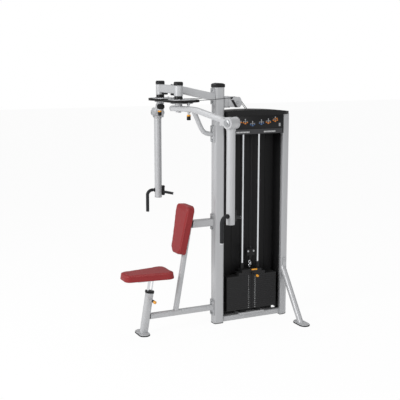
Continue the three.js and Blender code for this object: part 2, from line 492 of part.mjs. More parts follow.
// ---------------------------------------------------------------- seat
function buildSeat() {
  const lean = radians(SEAT_TUBE.lean);
  const seat = new THREE.Group();
  seat.position.set(0, SEAT_TUBE.footY, 0);
  seat.rotation.x = -lean;
  machine.add(seat);
  const upright = (manifold) => manifold.rotate([SEAT_TUBE.lean, 0, 0]);

  const section = hollowRect(SEAT_TUBE.width, SEAT_TUBE.depth, SEAT_TUBE.corner);
  const tubeTop = SEAT_TUBE.top / Math.cos(lean);
  const footTop = FOOT.rubber + CLEAR + FOOT.plate;
  const tube = solid(prism(section, -20, tubeTop));
  const below = upright(box([-80, 80], [-80, 80], [-80, footTop - 1]));
  const plate = upright(solid(moved(prism(stadium(FOOT.length, FOOT.width), 0, FOOT.plate, 8),
    0, FOOT.seatOffset, FOOT.rubber + CLEAR)));
  const pinHeight = SEAT_PIN.height / Math.cos(lean);
  const pinLine = (from, to, radius, sides = 16) => bar(
    [from, SEAT_TUBE.rodY, pinHeight], [to, SEAT_TUBE.rodY, pinHeight], radius, sides);
  const bossEnd = SEAT_TUBE.width / 2 + 14;
  const boss = cut(pinLine(SEAT_TUBE.width / 2 - 14, bossEnd, SEAT_PIN.bossRadius),
    solid(prism(roundedRect(SEAT_TUBE.width - 2, SEAT_TUBE.depth - 2, SEAT_TUBE.corner), 0, tubeTop)));
  const pinBore = pinLine(SEAT_POST.rodRadius, bossEnd + 5, SEAT_PIN.radius + CLEAR);
  piece('seat_tube', cut(join(cut(tube, below), plate, boss), pinBore), 'frame', seat);

  const foot = prism(stadium(FOOT.length + 2 * FOOT.padGrow, FOOT.width + 2 * FOOT.padGrow), 0, FOOT.rubber, 8);
  piece('seat_foot_pad', foot, 'rubber').position.set(0, SEAT_TUBE.footY + FOOT.seatOffset, 0);

  const post = (radius, y, from, to) => bar([0, y, from], [0, y, to], radius, 20);
  const slot = (grow) => [
    post(SEAT_POST.radius + grow, SEAT_TUBE.postY, 0, 600), post(SEAT_POST.rodRadius + grow, SEAT_TUBE.rodY, 0, 600)];
  const collarShape = roundedRect(SEAT_TUBE.width + 7, SEAT_TUBE.depth + 7, SEAT_TUBE.corner + 3);
  const collar = cut(solid(prism(collarShape, tubeTop + CLEAR, tubeTop + 19)), ...slot(CLEAR));
  piece('seat_collar', collar, 'black', seat);

  const carrierTop = SEAT_PAD.top - SEAT_PAD.thick - CLEAR;
  const carrier = upright(box([-70, 70], [-5, 175], [SEAT_POST.carrierZ, carrierTop])
    .translate([0, -SEAT_TUBE.footY - 725, 0]));
  const above = upright(box([-100, 100], [-200, 400], [carrierTop - 1, 900]));
  const posts = join(
    post(SEAT_POST.radius, SEAT_TUBE.postY, SEAT_POST.bottom, 480),
    post(SEAT_POST.rodRadius, SEAT_TUBE.rodY, SEAT_POST.bottom + 80, 480));
  piece('seat_post', join(cut(posts, above), carrier), 'chrome', seat);

  const tip = SEAT_POST.rodRadius + 2 * CLEAR;
  const knob = [bossEnd + CLEAR, SEAT_TUBE.width / 2 + SEAT_PIN.length];
  const pin = join(
    pinLine(tip, knob[1] - 8, SEAT_PIN.radius), pinLine(knob[0], knob[1] - 12, SEAT_PIN.shankRadius),
    pinLine(knob[0] + 14, knob[1], SEAT_PIN.knobRadius));
  piece('seat_pin', pin, 'yellow', seat);

  const length = SEAT_PAD.rear - SEAT_PAD.front;
  const outline = padOutline(SEAT_PAD.frontWidth, SEAT_PAD.rearWidth, length, SEAT_PAD.corner, SEAT_PAD.corner * 1.5);
  const pad = piece('seat_pad', prism(outline, 0, SEAT_PAD.thick, 5), 'pad');
  pad.position.set(0, SEAT_PAD.front, SEAT_PAD.top - SEAT_PAD.thick);

  const tubeFace = (z) => SEAT_TUBE.footY + z * Math.tan(lean) + SEAT_TUBE.depth / 2 / Math.cos(lean);
  const far = -tubeFace(SEAT_BEAM.z) + 40;
  const reach = (from) => new THREE.LineCurve3(point(from, SEAT_BEAM.z), point(far, SEAT_BEAM.z));
  const outer = roundedRect(SEAT_BEAM.width, SEAT_BEAM.height, SEAT_BEAM.corner);
  const inner = roundedRect(
    SEAT_BEAM.width - 2 * WALL, SEAT_BEAM.height - 2 * WALL, SEAT_BEAM.corner - WALL);
  const beam = solid(inSidePlane(sweep(outer, reach(flangeFront - 1), 1)));
  const tubeSide = box([-80, 80], [-300, SEAT_TUBE.depth / 2 + CLEAR], [0, 500])
    .rotate([-SEAT_TUBE.lean, 0, 0]).translate([0, SEAT_TUBE.footY, 0]);
  const hollow = solid(inSidePlane(sweep(inner, reach(flangeFront + 8), 1)));
  piece('seat_beam', cut(join(beam, flange(SEAT_BEAM.z)), hollow, tubeSide), 'frame');
}

// ---------------------------------------------------------------- weight tower frame
// Flat front, round back: the rear upright's section, drawn with its front at y = 0.
function rearSection(inset, Kind = THREE.Shape) {
  const half = REAR_UPRIGHT.width / 2 - inset;
  const shape = new Kind();
  shape.moveTo(-half, inset);
  shape.lineTo(half, inset);
  shape.lineTo(half, REAR_UPRIGHT.flat);
  shape.absellipse(0, REAR_UPRIGHT.flat, half, REAR_UPRIGHT.round - inset, 0, Math.PI);
  return shape;
}

function buildTowerFrame() {
  const section = rearSection(0);
  section.holes.push(rearSection(WALL, THREE.Path));
  piece('rear_upright', prism(section, 0, REAR_UPRIGHT.top, 8), 'frame').position.y = REAR_UPRIGHT.front;

  const from = UPRIGHT.depth / 2 + CLEAR;
  const to = REAR_UPRIGHT.front - CLEAR;
  const beamTop = BASE_BEAM.bottom + BASE_BEAM.height;
  const beamShape = hollowRect(BASE_BEAM.height, BASE_BEAM.width, 7);
  const beam = solid(moved(prism(beamShape, from, to, 3).rotateY(Math.PI / 2).rotateZ(Math.PI / 2),
    0, 0, BASE_BEAM.bottom + BASE_BEAM.height / 2));
  const plateTop = beamTop + BASE_BEAM.plateHeight;
  const plate = box([-BASE_BEAM.plateWidth / 2, BASE_BEAM.plateWidth / 2],
    [ROD.y - BASE_BEAM.plateLength / 2, ROD.y + BASE_BEAM.plateLength / 2], [beamTop - 1, plateTop]);
  const rodYs = [ROD.y - ROD.spacing / 2, ROD.y + ROD.spacing / 2];
  const bumpers = rodYs.map((y) => bar([0, y, plateTop - 1], [0, y, STACK.bottom - CLEAR], 28, 20));
  const rodHoles = rodYs.map((y) => bar([0, y, beamTop], [0, y, STACK.bottom + 10], ROD.radius + CLEAR, 24));
  piece('tower_base_beam', cut(join(beam, plate, ...bumpers), ...rodHoles), 'frame');

  const rodTop = TOP_PLATE.z + TOP_PLATE.thick + 7;
  rodYs.forEach((y, i) => {
    const name = ['guide_rod_front', 'guide_rod_rear'][i];
    piece(name, bar([0, 0, beamTop + CLEAR], [0, 0, rodTop], ROD.radius, 28), 'chrome').position.y = y;
  });

  const topZ = [TOP_PLATE.z, TOP_PLATE.z + TOP_PLATE.thick];
  const topPlate = box([-TOP_PLATE.width / 2, TOP_PLATE.width / 2], [from, to], topZ);
  const topHoles = rodYs.map((y) => bar([0, y, 1600], [0, y, 1700], ROD.radius + CLEAR, 24));
  const slot = box([-SHEAVE.x - 8, SHEAVE.x + 8], [ROD.y - 14, ROD.y + 14], [1600, 1700]);
  const axle = headerAxle();
  const lugs = [-1, 1].map((side) => {
    const x = [side * 30, side * 36].sort((a, b) => a - b);
    return box(x, [axle.y - 18, axle.y + 18], [topZ[1] - 1, axle.z + 14]);
  });
  const pin = bar([-32, axle.y, axle.z], [32, axle.y, axle.z], SHEAVE.bore, 20);
  piece('tower_top_plate', join(cut(topPlate, slot, ...topHoles), ...lugs, pin), 'frame');

  for (const [name, side] of [['left', 1], ['right', -1]]) {
    buildLeg(name, side);
  }
}

// Radius of the cable's centre line round a sheave: it rides a little above the groove's floor.
const cableTurn = SHEAVE.radius - SHEAVE.groove + CABLE.radius + CABLE.lift;

// The header sheave stands where a cable leaves it straight down to the stack.
function headerAxle() {
  return { y: ROD.y - cableTurn, z: 1708 };
}

function buildLeg(name, side) {
  const lean = radians(LEG.angle);
  const footTop = FOOT.rubber + CLEAR + FOOT.plate;
  const run = 560;
  const foot = [side * (LEG.footX - 8), LEG.footY, 0];
  const head = [foot[0] - side * run * Math.sin(lean), LEG.footY, run * Math.cos(lean)];
  const tube = bar(foot, head, LEG.radius, 20);
  const below = box([-600, 600], [400, 800], [-60, footTop - 1]);
  const plate = solid(moved(prism(stadium(FOOT.length, FOOT.width), 0, FOOT.plate, 8),
    side * LEG.footX, LEG.footY, FOOT.rubber + CLEAR));
  const saddleX = REAR_UPRIGHT.width / 2 + CLEAR;
  const saddleZ = 452;
  const xRange = [side * (saddleX - 12), side * (saddleX + LEG.saddleThick)].sort((a, b) => a - b);
  const saddle = box(xRange, [LEG.footY - 12, LEG.footY + LEG.saddleDepth - 12],
    [saddleZ - LEG.saddleHeight / 2, saddleZ + LEG.saddleHeight / 2]);
  const bolts = [-14, 14].map((dy) => bar(
    [side * saddleX, LEG.footY + dy * 0.6 + 4, saddleZ + 30],
    [side * (saddleX + LEG.saddleThick + 6), LEG.footY + dy * 0.6 + 4, saddleZ + 30], 7, 6));
  const space = rearSection(-CLEAR);
  const upright = solid(moved(prism(space, -50, 2000, 8), 0, REAR_UPRIGHT.front, 0));
  const inside = box([-saddleX, saddleX], [500, 700], [-50, 2000]);
  const wholeTube = cut(tube, below, inside);
  piece(`stabiliser_leg_${name}`, cut(join(wholeTube, plate, saddle, ...bolts), upright), 'frame');
  const pad = prism(stadium(FOOT.length + 2 * FOOT.padGrow, FOOT.width + 2 * FOOT.padGrow), 0, FOOT.rubber, 8);
  piece(`leg_foot_pad_${name}`, pad, 'rubber').position.set(side * LEG.footX, LEG.footY, 0);
}

// ---------------------------------------------------------------- header, top cap and shroud
function buildTowerCovers() {
  const width = HEADER.near - HEADER.far;
  const depth = HEADER.rear - HEADER.front;
  const middle = [(HEADER.near + HEADER.far) / 2, (HEADER.front + HEADER.rear) / 2];
  const ring = prism(hollowRect(width, depth, 22, HEADER.wall), HEADER.bottom, HEADER.top);
  const shell = solid(moved(ring, ...middle, 0));
  const passage = box([-TOP_PLATE.width / 2 - 1, TOP_PLATE.width / 2 + 1],
    [0, 700], [HEADER.bottom - 5, TOP_PLATE.z + TOP_PLATE.thick + 1]);
  piece('tower_header', cut(shell, passage), 'black');

  const bottom = HEADER.top + CLEAR;
  const arch = new THREE.Shape();
  const front = -HEADER.front + 2;
  arch.moveTo(front, 0);
  arch.lineTo(front, TOP_CAP.frontHeight);
  arch.bezierCurveTo(front - 170, TOP_CAP.crown + 4, -TOP_CAP.rear + 200, TOP_CAP.crown, -TOP_CAP.rear,
    TOP_CAP.rearHeight);
  arch.lineTo(-TOP_CAP.rear, 0);
  arch.closePath();
  const side = width / 2 + TOP_CAP.overhang;
  const profile = solid(moved(inSidePlane(prism(arch, -side, side, 12)), middle[0], 0, bottom));
  const plan = new THREE.Shape();
  const grow = TOP_CAP.overhang;
  plan.moveTo(HEADER.near + grow, HEADER.front - 2);
  plan.lineTo(HEADER.near + grow, HEADER.rear - 40);
  plan.quadraticCurveTo(HEADER.near + grow, HEADER.rear + 10, 52, TOP_CAP.rear - 24);
  plan.quadraticCurveTo(40, TOP_CAP.rear, 0, TOP_CAP.rear);
  plan.quadraticCurveTo(-40, TOP_CAP.rear, -52, TOP_CAP.rear - 24);
  plan.quadraticCurveTo(HEADER.far - grow, HEADER.rear + 10, HEADER.far - grow, HEADER.rear - 40);
  plan.lineTo(HEADER.far - grow, HEADER.front - 2);
  plan.closePath();
  const footprint = solid(prism(plan, bottom - 10, bottom + 80, 6));
  const cableHole = box([-SHEAVE.x - 10, SHEAVE.x + 10], [236, 300], [bottom - 20, bottom + 80]);
  const hollow = box([HEADER.far + 8, HEADER.near - 8], [HEADER.front + 8, HEADER.rear - 30], [bottom - 1, bottom + 16]);
  piece('tower_top_cap', cut(profile.intersect(footprint), cableHole, hollow), 'black');

  const x = [HEADER.far, SHROUD.returnTo];
  const y = [HEADER.front, HEADER.rear];
  const z = [SHROUD.bottom, HEADER.bottom - CLEAR];
  const outer = box(x, y, z);
  const inner = box([HEADER.far + SHROUD.wall, SHROUD.returnTo + 10],
    [HEADER.front + SHROUD.wall, HEADER.rear - SHROUD.wall], [z[0] - 5, z[1] + 5]);
  const skirt = box([HEADER.far, HEADER.far + SHROUD.wall], y, [SHROUD.skirt, SHROUD.bottom + 1]);
  piece('tower_shroud', join(cut(outer, inner), skirt), 'black');
}

// ---------------------------------------------------------------- cable guide behind the main upright
function sheave(thick, grooves) {
  const half = thick / 2;
  const points = [[SHEAVE.bore + CLEAR, -half], [SHEAVE.radius, -half]];
  for (const x of grooves) {
    points.push([SHEAVE.radius, x - 6.5], [SHEAVE.radius - SHEAVE.groove, x - 2.5],
      [SHEAVE.radius - SHEAVE.groove, x + 2.5], [SHEAVE.radius, x + 6.5]);
  }
  points.push([SHEAVE.radius, half], [SHEAVE.bore + CLEAR, half], [SHEAVE.bore + CLEAR, -half]);
  return turnedSolid(points, 24).rotateY(Math.PI / 2);
}

function buildGuide() {
  const half = GUIDE.width / 2;
  const from = UPRIGHT.depth / 2 + CLEAR;
  const beamShape = hollowRect(GUIDE.top - GUIDE.bottom, GUIDE.width, 8);
  const beam = solid(moved(prism(beamShape, from, GUIDE.beamEnd).rotateY(Math.PI / 2).rotateZ(Math.PI / 2),
    0, 0, (GUIDE.top + GUIDE.bottom) / 2));
  const cheekShape = new THREE.Shape();
  cheekShape.moveTo(GUIDE.beamEnd - 20, GUIDE.bottom + 12);
  cheekShape.lineTo(GUIDE.axleY - 18, GUIDE.bottom);
  cheekShape.lineTo(GUIDE.axleY + 20, GUIDE.bottom);
  cheekShape.lineTo(GUIDE.axleY + 44, GUIDE.axleZ - 12);
  cheekShape.lineTo(GUIDE.axleY + 28, GUIDE.axleZ + 34);
  cheekShape.lineTo(GUIDE.axleY + 14, GUIDE.top - 6);
  cheekShape.lineTo(GUIDE.axleY - 36, GUIDE.top - 6);
  cheekShape.lineTo(GUIDE.axleY - 48, GUIDE.top - 22);
  cheekShape.lineTo(GUIDE.beamEnd - 20, GUIDE.top - 28);
  cheekShape.closePath();
  const cheeks = [-GUIDE.cheekX - GUIDE.cheekThick, GUIDE.cheekX - 5].map((x) => {
    const plate = prism(cheekShape, x, x + GUIDE.cheekThick + 5);
    return solid(plate.rotateX(Math.PI / 2).rotateZ(Math.PI / 2));
  });
  const space = box([-GUIDE.cheekX, GUIDE.cheekX], [GUIDE.beamEnd + 1, 300], [1700, 2000]);
  const axle = bar([-GUIDE.cheekX - 1, GUIDE.axleY, GUIDE.axleZ], [GUIDE.cheekX + 1, GUIDE.axleY, GUIDE.axleZ],
    SHEAVE.bore, 20);
  piece('guide_bracket', join(cut(join(beam, ...cheeks), space), axle), 'frame');

  for (const [name, side] of [['left', 1], ['right', -1]]) {
    const wheel = piece(`guide_sheave_${name}`, sheave(SHEAVE.thick, [0]), 'black');
    wheel.position.set(side * SHEAVE.x, GUIDE.axleY, GUIDE.axleZ);
  }
  const axleAt = headerAxle();
  const header = piece('header_sheave', sheave(2 * SHEAVE.x + SHEAVE.thick, [-SHEAVE.x, SHEAVE.x]), 'black');
  header.position.set(0, axleAt.y, axleAt.z);
}

// ---------------------------------------------------------------- weight stack
function buildStack() {
  const half = STACK.width / 2;
  const rodYs = [ROD.y - ROD.spacing / 2, ROD.y + ROD.spacing / 2];
  const plateBox = (inset, z) => box(
    [-STACK.depth / 2 + inset, STACK.depth / 2 - inset], [ROD.y - half + inset, ROD.y + half - inset], z);
  const stackTop = STACK.bottom + STACK.plates * STACK.pitch;
  const plates = [...Array(STACK.plates).keys()].map((i) => {
    const z = STACK.bottom + i * STACK.pitch;
    return plateBox(0, [z, z + STACK.pitch - STACK.gap]);
  });
  const core = plateBox(STACK.inset, [STACK.bottom, stackTop]);
  const rodHoles = rodYs.map((y) => bar([0, y, 0], [0, y, 600], ROD.radius + 1.5, 20));
  const channel = bar([0, ROD.y, 0], [0, ROD.y, 600], HEAD.selectorRadius + 2, 20);
  piece('resting_plates', cut(join(core, ...plates), ...rodHoles, channel), 'iron');

  const firstBottom = stackTop + CLEAR;
  const firstTop = firstBottom + FIRST_PLATE.height;
  const pinZ = (firstBottom + firstTop) / 2;
  const pinHole = bar([SELECTOR.tip - 3, ROD.y, pinZ], [60, ROD.y, pinZ], SELECTOR.radius + CLEAR, 20);
  const first = box([-STACK.depth / 2, STACK.depth / 2],
    [ROD.y - FIRST_PLATE.width / 2, ROD.y + FIRST_PLATE.width / 2], [firstBottom, firstTop]);
  piece('first_plate', cut(first, ...rodHoles, channel, pinHole), 'iron');

  const headBottom = firstTop + CLEAR;
  const headTop = headBottom + HEAD.height;
  const head = box([-STACK.depth / 2, STACK.depth / 2],
    [ROD.y - HEAD.width / 2, ROD.y + HEAD.width / 2], [headBottom, headTop]);
  const sleeves = rodYs.map((y) => bar([0, y, headTop - 1], [0, y, headTop + HEAD.sleeveHeight], HEAD.sleeveRadius, 24));
  const selector = bar([0, ROD.y, STACK.bottom + 16], [0, ROD.y, headBottom + 1], HEAD.selectorRadius, 24);
  const sleeveHoles = rodYs.map((y) => bar([0, y, 300], [0, y, 700], ROD.radius + 0.5, 20));
  piece('head_plate', cut(join(cut(join(head, ...sleeves), ...sleeveHoles), selector), pinHole), 'iron');

  const reach = SELECTOR.reach;
  const pin = join(
    bar([SELECTOR.tip, ROD.y, pinZ], [reach - 10, ROD.y, pinZ], SELECTOR.radius, 16),
    bar([STACK.depth / 2 + 1, ROD.y, pinZ], [STACK.depth / 2 + 15, ROD.y, pinZ], 8, 20),
    bar([reach - 34, ROD.y, pinZ], [reach, ROD.y, pinZ], SELECTOR.knobRadius, 24));
  piece('selector_pin', pin, 'yellow');

  const leverZ = headTop + CLEAR;
  const pivotY = ROD.y + LEVER.pivotOffset;
  const swing = Math.atan2(LEVER.pivotOffset, LEVER.reach - LEVER.pivotX);
  const armLength = Math.hypot(LEVER.pivotOffset, LEVER.reach - LEVER.pivotX);
  const arm = box([0, armLength], [-LEVER.armWidth / 2, LEVER.armWidth / 2], [0, 6])
    .rotate([0, 0, -THREE.MathUtils.radToDeg(swing)]).translate([LEVER.pivotX, pivotY, leverZ]);
  const eye = bar([LEVER.pivotX, pivotY, leverZ], [LEVER.pivotX, pivotY, leverZ + 8], 11, 20);
  const grip = bar([LEVER.reach, ROD.y - LEVER.barLength / 2, leverZ + LEVER.barRadius + 1],
    [LEVER.reach, ROD.y + LEVER.barLength / 2, leverZ + LEVER.barRadius + 1], LEVER.barRadius, 20);
  piece('add_on_lever', join(arm, eye, grip), 'yellow');

  const stem = bar([0, ROD.y, headTop + CLEAR], [0, ROD.y, LIFT.blockBottom + 5], LIFT.stemRadius, 20);
  const block = prism(roundedRect(LIFT.blockDepth, LIFT.blockWidth, 12), LIFT.blockBottom, LIFT.blockTop);
  piece('lift_bracket', join(stem, solid(moved(block, 0, ROD.y, 0))), 'black');
}

// ---------------------------------------------------------------- cables
// Each cable runs from the rear tip of its cam over a guide sheave and the header sheave to the stack.
function cableRoute(side) {
  const guide = { y: GUIDE.axleY, z: GUIDE.axleZ };
  const header = headerAxle();
  const r = cableTurn;
  const x = side * SHEAVE.x;
  const camZ = CAM.bottom + CAM.thick / 2;
  const drop = Math.atan2(guide.z - header.z, header.y - guide.y);
  const around = (centre, from, to, steps) => [...Array(steps + 1).keys()].map((i) => {
    const angle = from + (to - from) * i / steps;
    return new THREE.Vector3(x, centre.y + r * Math.sin(angle), centre.z + r * Math.cos(angle));
  });
  const camX = side * (PIVOT.x - CAM.inward);
  const camTip = PIVOT.y + CAM.back + CAM.radius + 1;
  return [
    new THREE.Vector3(camX, camTip, camZ),
    new THREE.Vector3(camX + (x - camX) * 0.35, camTip + (guide.y - camTip) * 0.35, camZ + 2),
    new THREE.Vector3(camX + (x - camX) * 0.75, camTip + (guide.y - camTip) * 0.75, guide.z + r - 2),
    ...around(guide, 0, drop, 4),
    ...around(header, drop, Math.PI / 2, 4),
    new THREE.Vector3(x, header.y + r, header.z - 60),
    new THREE.Vector3(x, header.y + r, (header.z + LIFT.blockTop) / 2),
    new THREE.Vector3(x, header.y + r, LIFT.blockTop + CLEAR)];
}

function buildCables() {
  for (const [name, side] of [['left', 1], ['right', -1]]) {
    const path = new THREE.CatmullRomCurve3(cableRoute(side), false, 'centripetal');
    const section = new THREE.Shape().absarc(0, 0, CABLE.radius, 0, Math.PI * 2);
    piece(`cable_${name}`, sweep(section, path, 64, CABLE.sides / 2), 'black');
  }
}

buildMainUpright();
buildPivotFrame();
buildBrace();
buildArms();
buildBack();
buildSeat();
buildTowerFrame();
buildTowerCovers();
buildGuide();
buildStack();
buildCables();

export default machine;
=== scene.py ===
"""Looks of the pectoral fly and rear deltoid machine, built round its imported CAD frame. Metres, +Z up."""
import math

import bmesh
import bpy
from mathutils import Matrix, Vector
from mathutils.bvhtree import BVHTree


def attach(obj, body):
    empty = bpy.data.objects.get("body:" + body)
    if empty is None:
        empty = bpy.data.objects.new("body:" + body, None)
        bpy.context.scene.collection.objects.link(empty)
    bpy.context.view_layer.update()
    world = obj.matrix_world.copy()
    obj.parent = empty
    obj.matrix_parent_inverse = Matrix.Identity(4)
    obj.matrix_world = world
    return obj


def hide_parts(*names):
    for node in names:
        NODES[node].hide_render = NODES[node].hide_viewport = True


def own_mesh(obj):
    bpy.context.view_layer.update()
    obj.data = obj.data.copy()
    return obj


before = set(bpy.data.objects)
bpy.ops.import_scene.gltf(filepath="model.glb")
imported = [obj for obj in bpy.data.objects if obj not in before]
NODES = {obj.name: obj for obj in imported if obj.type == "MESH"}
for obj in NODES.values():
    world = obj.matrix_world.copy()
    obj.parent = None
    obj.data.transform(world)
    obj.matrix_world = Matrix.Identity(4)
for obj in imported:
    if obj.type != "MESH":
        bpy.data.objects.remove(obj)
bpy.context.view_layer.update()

SIDES = (("left", 1), ("right", -1))


# ---------------------------------------------------------------- materials
def linear(*srgb):
    return tuple((c / 255 / 12.92) if c <= 10 else ((c / 255 + 0.055) / 1.055) ** 2.4 for c in srgb) + (1.0,)


def surface(name, colour, roughness, metallic=0.0, grain=900.0, depth=0.00012, kind="noise", mottle=0.05,
            spread=0.06, stretch=(1, 1, 1), coat=0.0, sheen=0.0, gloss=0.5):
    """Principled surface with a fine bump, a slow colour change and uneven roughness, all in object space."""
    material = bpy.data.materials.new(name)
    material.use_nodes = True
    nodes, links = material.node_tree.nodes, material.node_tree.links
    shader = nodes["Principled BSDF"]
    shader.inputs["Metallic"].default_value = metallic
    shader.inputs["Coat Weight"].default_value = coat
    shader.inputs["Specular IOR Level"].default_value = gloss
    shader.inputs["Coat Roughness"].default_value = 0.25
    shader.inputs["Sheen Weight"].default_value = sheen
    place = nodes.new("ShaderNodeTexCoord")
    mapping = nodes.new("ShaderNodeMapping")
    mapping.inputs["Scale"].default_value = stretch
    links.new(place.outputs["Object"], mapping.inputs["Vector"])

    slow = nodes.new("ShaderNodeTexNoise")
    slow.inputs["Scale"].default_value = 14
    slow.inputs["Detail"].default_value = 5
    links.new(mapping.outputs["Vector"], slow.inputs["Vector"])
    tint = nodes.new("ShaderNodeMix")
    tint.data_type = "RGBA"
    tint.inputs["A"].default_value = tuple(c * (1 - mottle) for c in colour[:3]) + (1,)
    tint.inputs["B"].default_value = tuple(min(c * (1 + mottle), 1) for c in colour[:3]) + (1,)
    links.new(slow.outputs["Fac"], tint.inputs["Factor"])
    links.new(tint.outputs["Result"], shader.inputs["Base Color"])
    uneven = nodes.new("ShaderNodeMapRange")
    uneven.inputs["To Min"].default_value = max(roughness - spread, 0.02)
    uneven.inputs["To Max"].default_value = roughness + spread
    links.new(slow.outputs["Fac"], uneven.inputs["Value"])
    links.new(uneven.outputs["Result"], shader.inputs["Roughness"])

    if kind == "leather":
        fine = nodes.new("ShaderNodeTexVoronoi")
        fine.feature = "DISTANCE_TO_EDGE"
        height = fine.outputs["Distance"]
    else:
        fine = nodes.new("ShaderNodeTexNoise")
        fine.inputs["Detail"].default_value = 3
        height = fine.outputs["Fac"]
    fine.inputs["Scale"].default_value = grain
    links.new(mapping.outputs["Vector"], fine.inputs["Vector"])
    bump = nodes.new("ShaderNodeBump")
    bump.inputs["Strength"].default_value = 0.6
    bump.inputs["Distance"].default_value = depth
    links.new(height, bump.inputs["Height"])
    links.new(bump.outputs["Normal"], shader.inputs["Normal"])
    return material


def ribbed(material, axis, pitch, depth):
    """Adds parallel ribs across one object axis on top of a surface's fine bump."""
    nodes, links = material.node_tree.nodes, material.node_tree.links
    place = nodes.new("ShaderNodeTexCoord")
    wave = nodes.new("ShaderNodeTexWave")
    wave.bands_direction = axis
    wave.inputs["Scale"].default_value = math.pi / 10 / pitch
    links.new(place.outputs["Object"], wave.inputs["Vector"])
    first = next(n for n in nodes if n.type == "BUMP")
    ribs = nodes.new("ShaderNodeBump")
    ribs.inputs["Distance"].default_value = depth
    links.new(wave.outputs["Fac"], ribs.inputs["Height"])
    links.new(first.outputs["Normal"], ribs.inputs["Normal"])
    links.new(ribs.outputs["Normal"], nodes["Principled BSDF"].inputs["Normal"])
    return material


LOOK = {
    "frame": surface("silver_powder_coat", linear(188, 189, 191), 0.40, 0.25, 1500, 0.00005, mottle=0.02),
    "upright": surface("silver_extrusion", linear(186, 187, 189), 0.34, 0.35, 500, 0.00003, mottle=0.02,
                       stretch=(1, 1, 0.04)),
    "chrome": surface("polished_chrome", linear(214, 216, 219), 0.09, 1.0, 700, 0.00002, mottle=0.02, spread=0.03,
                      stretch=(1, 1, 0.05)),
    "bolt": surface("zinc_bolt", linear(176, 178, 180), 0.3, 0.9, 1200, 0.00004, mottle=0.05),
    "plastic": surface("black_moulded_plastic", linear(26, 26, 27), 0.42, 0, 1800, 0.00008, mottle=0.08, gloss=0.22),
    "paint": surface("black_powder_coat", linear(27, 27, 28), 0.5, 0.0, 1300, 0.0001, mottle=0.08, gloss=0.22),
    "panel": surface("black_panel", linear(23, 23, 24), 0.36, 0, 1600, 0.00004, mottle=0.08, gloss=0.22),
    "band": surface("grey_panel_band", linear(66, 66, 68), 0.5, 0, 1500, 0.00005, mottle=0.05, gloss=0.22),
    "shroud": surface("black_shroud", linear(27, 27, 28), 0.55, 0, 1100, 0.0001, mottle=0.1, gloss=0.22),
    "rubber": surface("black_rubber", linear(30, 31, 32), 0.7, 0, 700, 0.0002, mottle=0.12, gloss=0.22),
    "foam": surface("grip_rubber", linear(40, 41, 43), 0.62, 0, 850, 0.00035, mottle=0.12, gloss=0.22),
    "plate": surface("cast_plate_paint", linear(38, 38, 39), 0.52, 0, 600, 0.00022, mottle=0.14, gloss=0.22),
    "yellow": surface("yellow_plastic", linear(232, 160, 40), 0.35, 0, 1500, 0.00004, mottle=0.04, coat=0.3),
    "white": surface("white_end_cap", linear(232, 233, 234), 0.4, 0, 1200, 0.00004, mottle=0.02),
    "grey": surface("grey_end_cap", linear(165, 166, 168), 0.5, 0, 1200, 0.00005, mottle=0.04),
    "vinyl": surface("red_vinyl", linear(142, 44, 46), 0.45, 0, 520, 0.00028, "leather", mottle=0.07, sheen=0.03, gloss=0.22),
    # Lighter than the red vinyl: a painted highlight along the pad's face edge, carried by a real raised seam.
    "welt_highlight": surface("red_vinyl_seam_painted_highlight", linear(158, 66, 66), 0.5, 0, 900, 0.0002, "leather", mottle=0.05),
    "cable": surface("sheathed_cable", linear(96, 97, 99), 0.35, 0.3, 1800, 0.00008, mottle=0.08),
    "sheath": surface("black_cable_sheath", linear(34, 34, 36), 0.4, 0, 1800, 0.00008, mottle=0.08, gloss=0.22),
    "print": surface("white_print", linear(205, 206, 207), 0.6, 0, 1500, 0.00003, mottle=0.04),
    "orange": surface("orange_print", linear(214, 126, 38), 0.6, 0, 1500, 0.00003, mottle=0.04),
    "blue": surface("blue_print", linear(72, 104, 150), 0.6, 0, 1500, 0.00003, mottle=0.04),
}
ribbed(LOOK["foam"], "Z", 0.004, 0.0004)


# ---------------------------------------------------------------- mesh helpers
def settle(mesh, angle=32):
    mesh.polygons.foreach_set("use_smooth", [True] * len(mesh.polygons))
    mesh.set_sharp_from_angle(angle=math.radians(angle))
    mesh.update()


def make(name, bm, look, body, place=None, replaces=()):
    """Turns a bmesh into a piece that rides on a body."""
    bmesh.ops.recalc_face_normals(bm, faces=bm.faces)
    mesh = bpy.data.meshes.new(name)
    bm.to_mesh(mesh)
    bm.free()
    if place is not None:
        mesh.transform(place)
    settle(mesh)
    mesh.materials.append(LOOK[look])
    obj = bpy.data.objects.new(name, mesh)
    bpy.context.scene.collection.objects.link(obj)
    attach(obj, body)
    if replaces:
        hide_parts(*replaces)
    return obj


def loft(bm, rings, closed=False):
    """Skins a row of equal rings of points, and caps both ends unless the row closes on itself."""
    made = [[bm.verts.new(p) for p in ring] for ring in rings]
    pairs = list(zip(made, made[1:])) + ([(made[-1], made[0])] if closed else [])
    for low, high in pairs:
        for i in range(len(low)):
            j = (i + 1) % len(low)
            bm.faces.new((low[i], low[j], high[j], high[i]))
    if not closed:
        bm.faces.new(made[0][::-1])
        bm.faces.new(made[-1])


def frame_along(direction):
    w = Vector(direction).normalized()
    u = w.orthogonal().normalized()
    return u, w.cross(u), w


def lathe(bm, origin, axis, profile, sides=32):
    """Turned solid: profile is (radius, distance along the axis) pairs, none of them on the axis."""
    u, v, w = frame_along(axis)
    rings = [[Vector(origin) + w * z + (u * math.cos(t) + v * math.sin(t)) * r
              for t in (2 * math.pi * k / sides for k in range(sides))] for r, z in profile]
    loft(bm, rings)


def rod(bm, a, b, radius, sides=24, chamfer=0.0006):
    length = (Vector(b) - Vector(a)).length
    lathe(bm, a, Vector(b) - Vector(a), [(radius - chamfer, 0), (radius, chamfer), (radius, length - chamfer),
                                         (radius - chamfer, length)], sides)


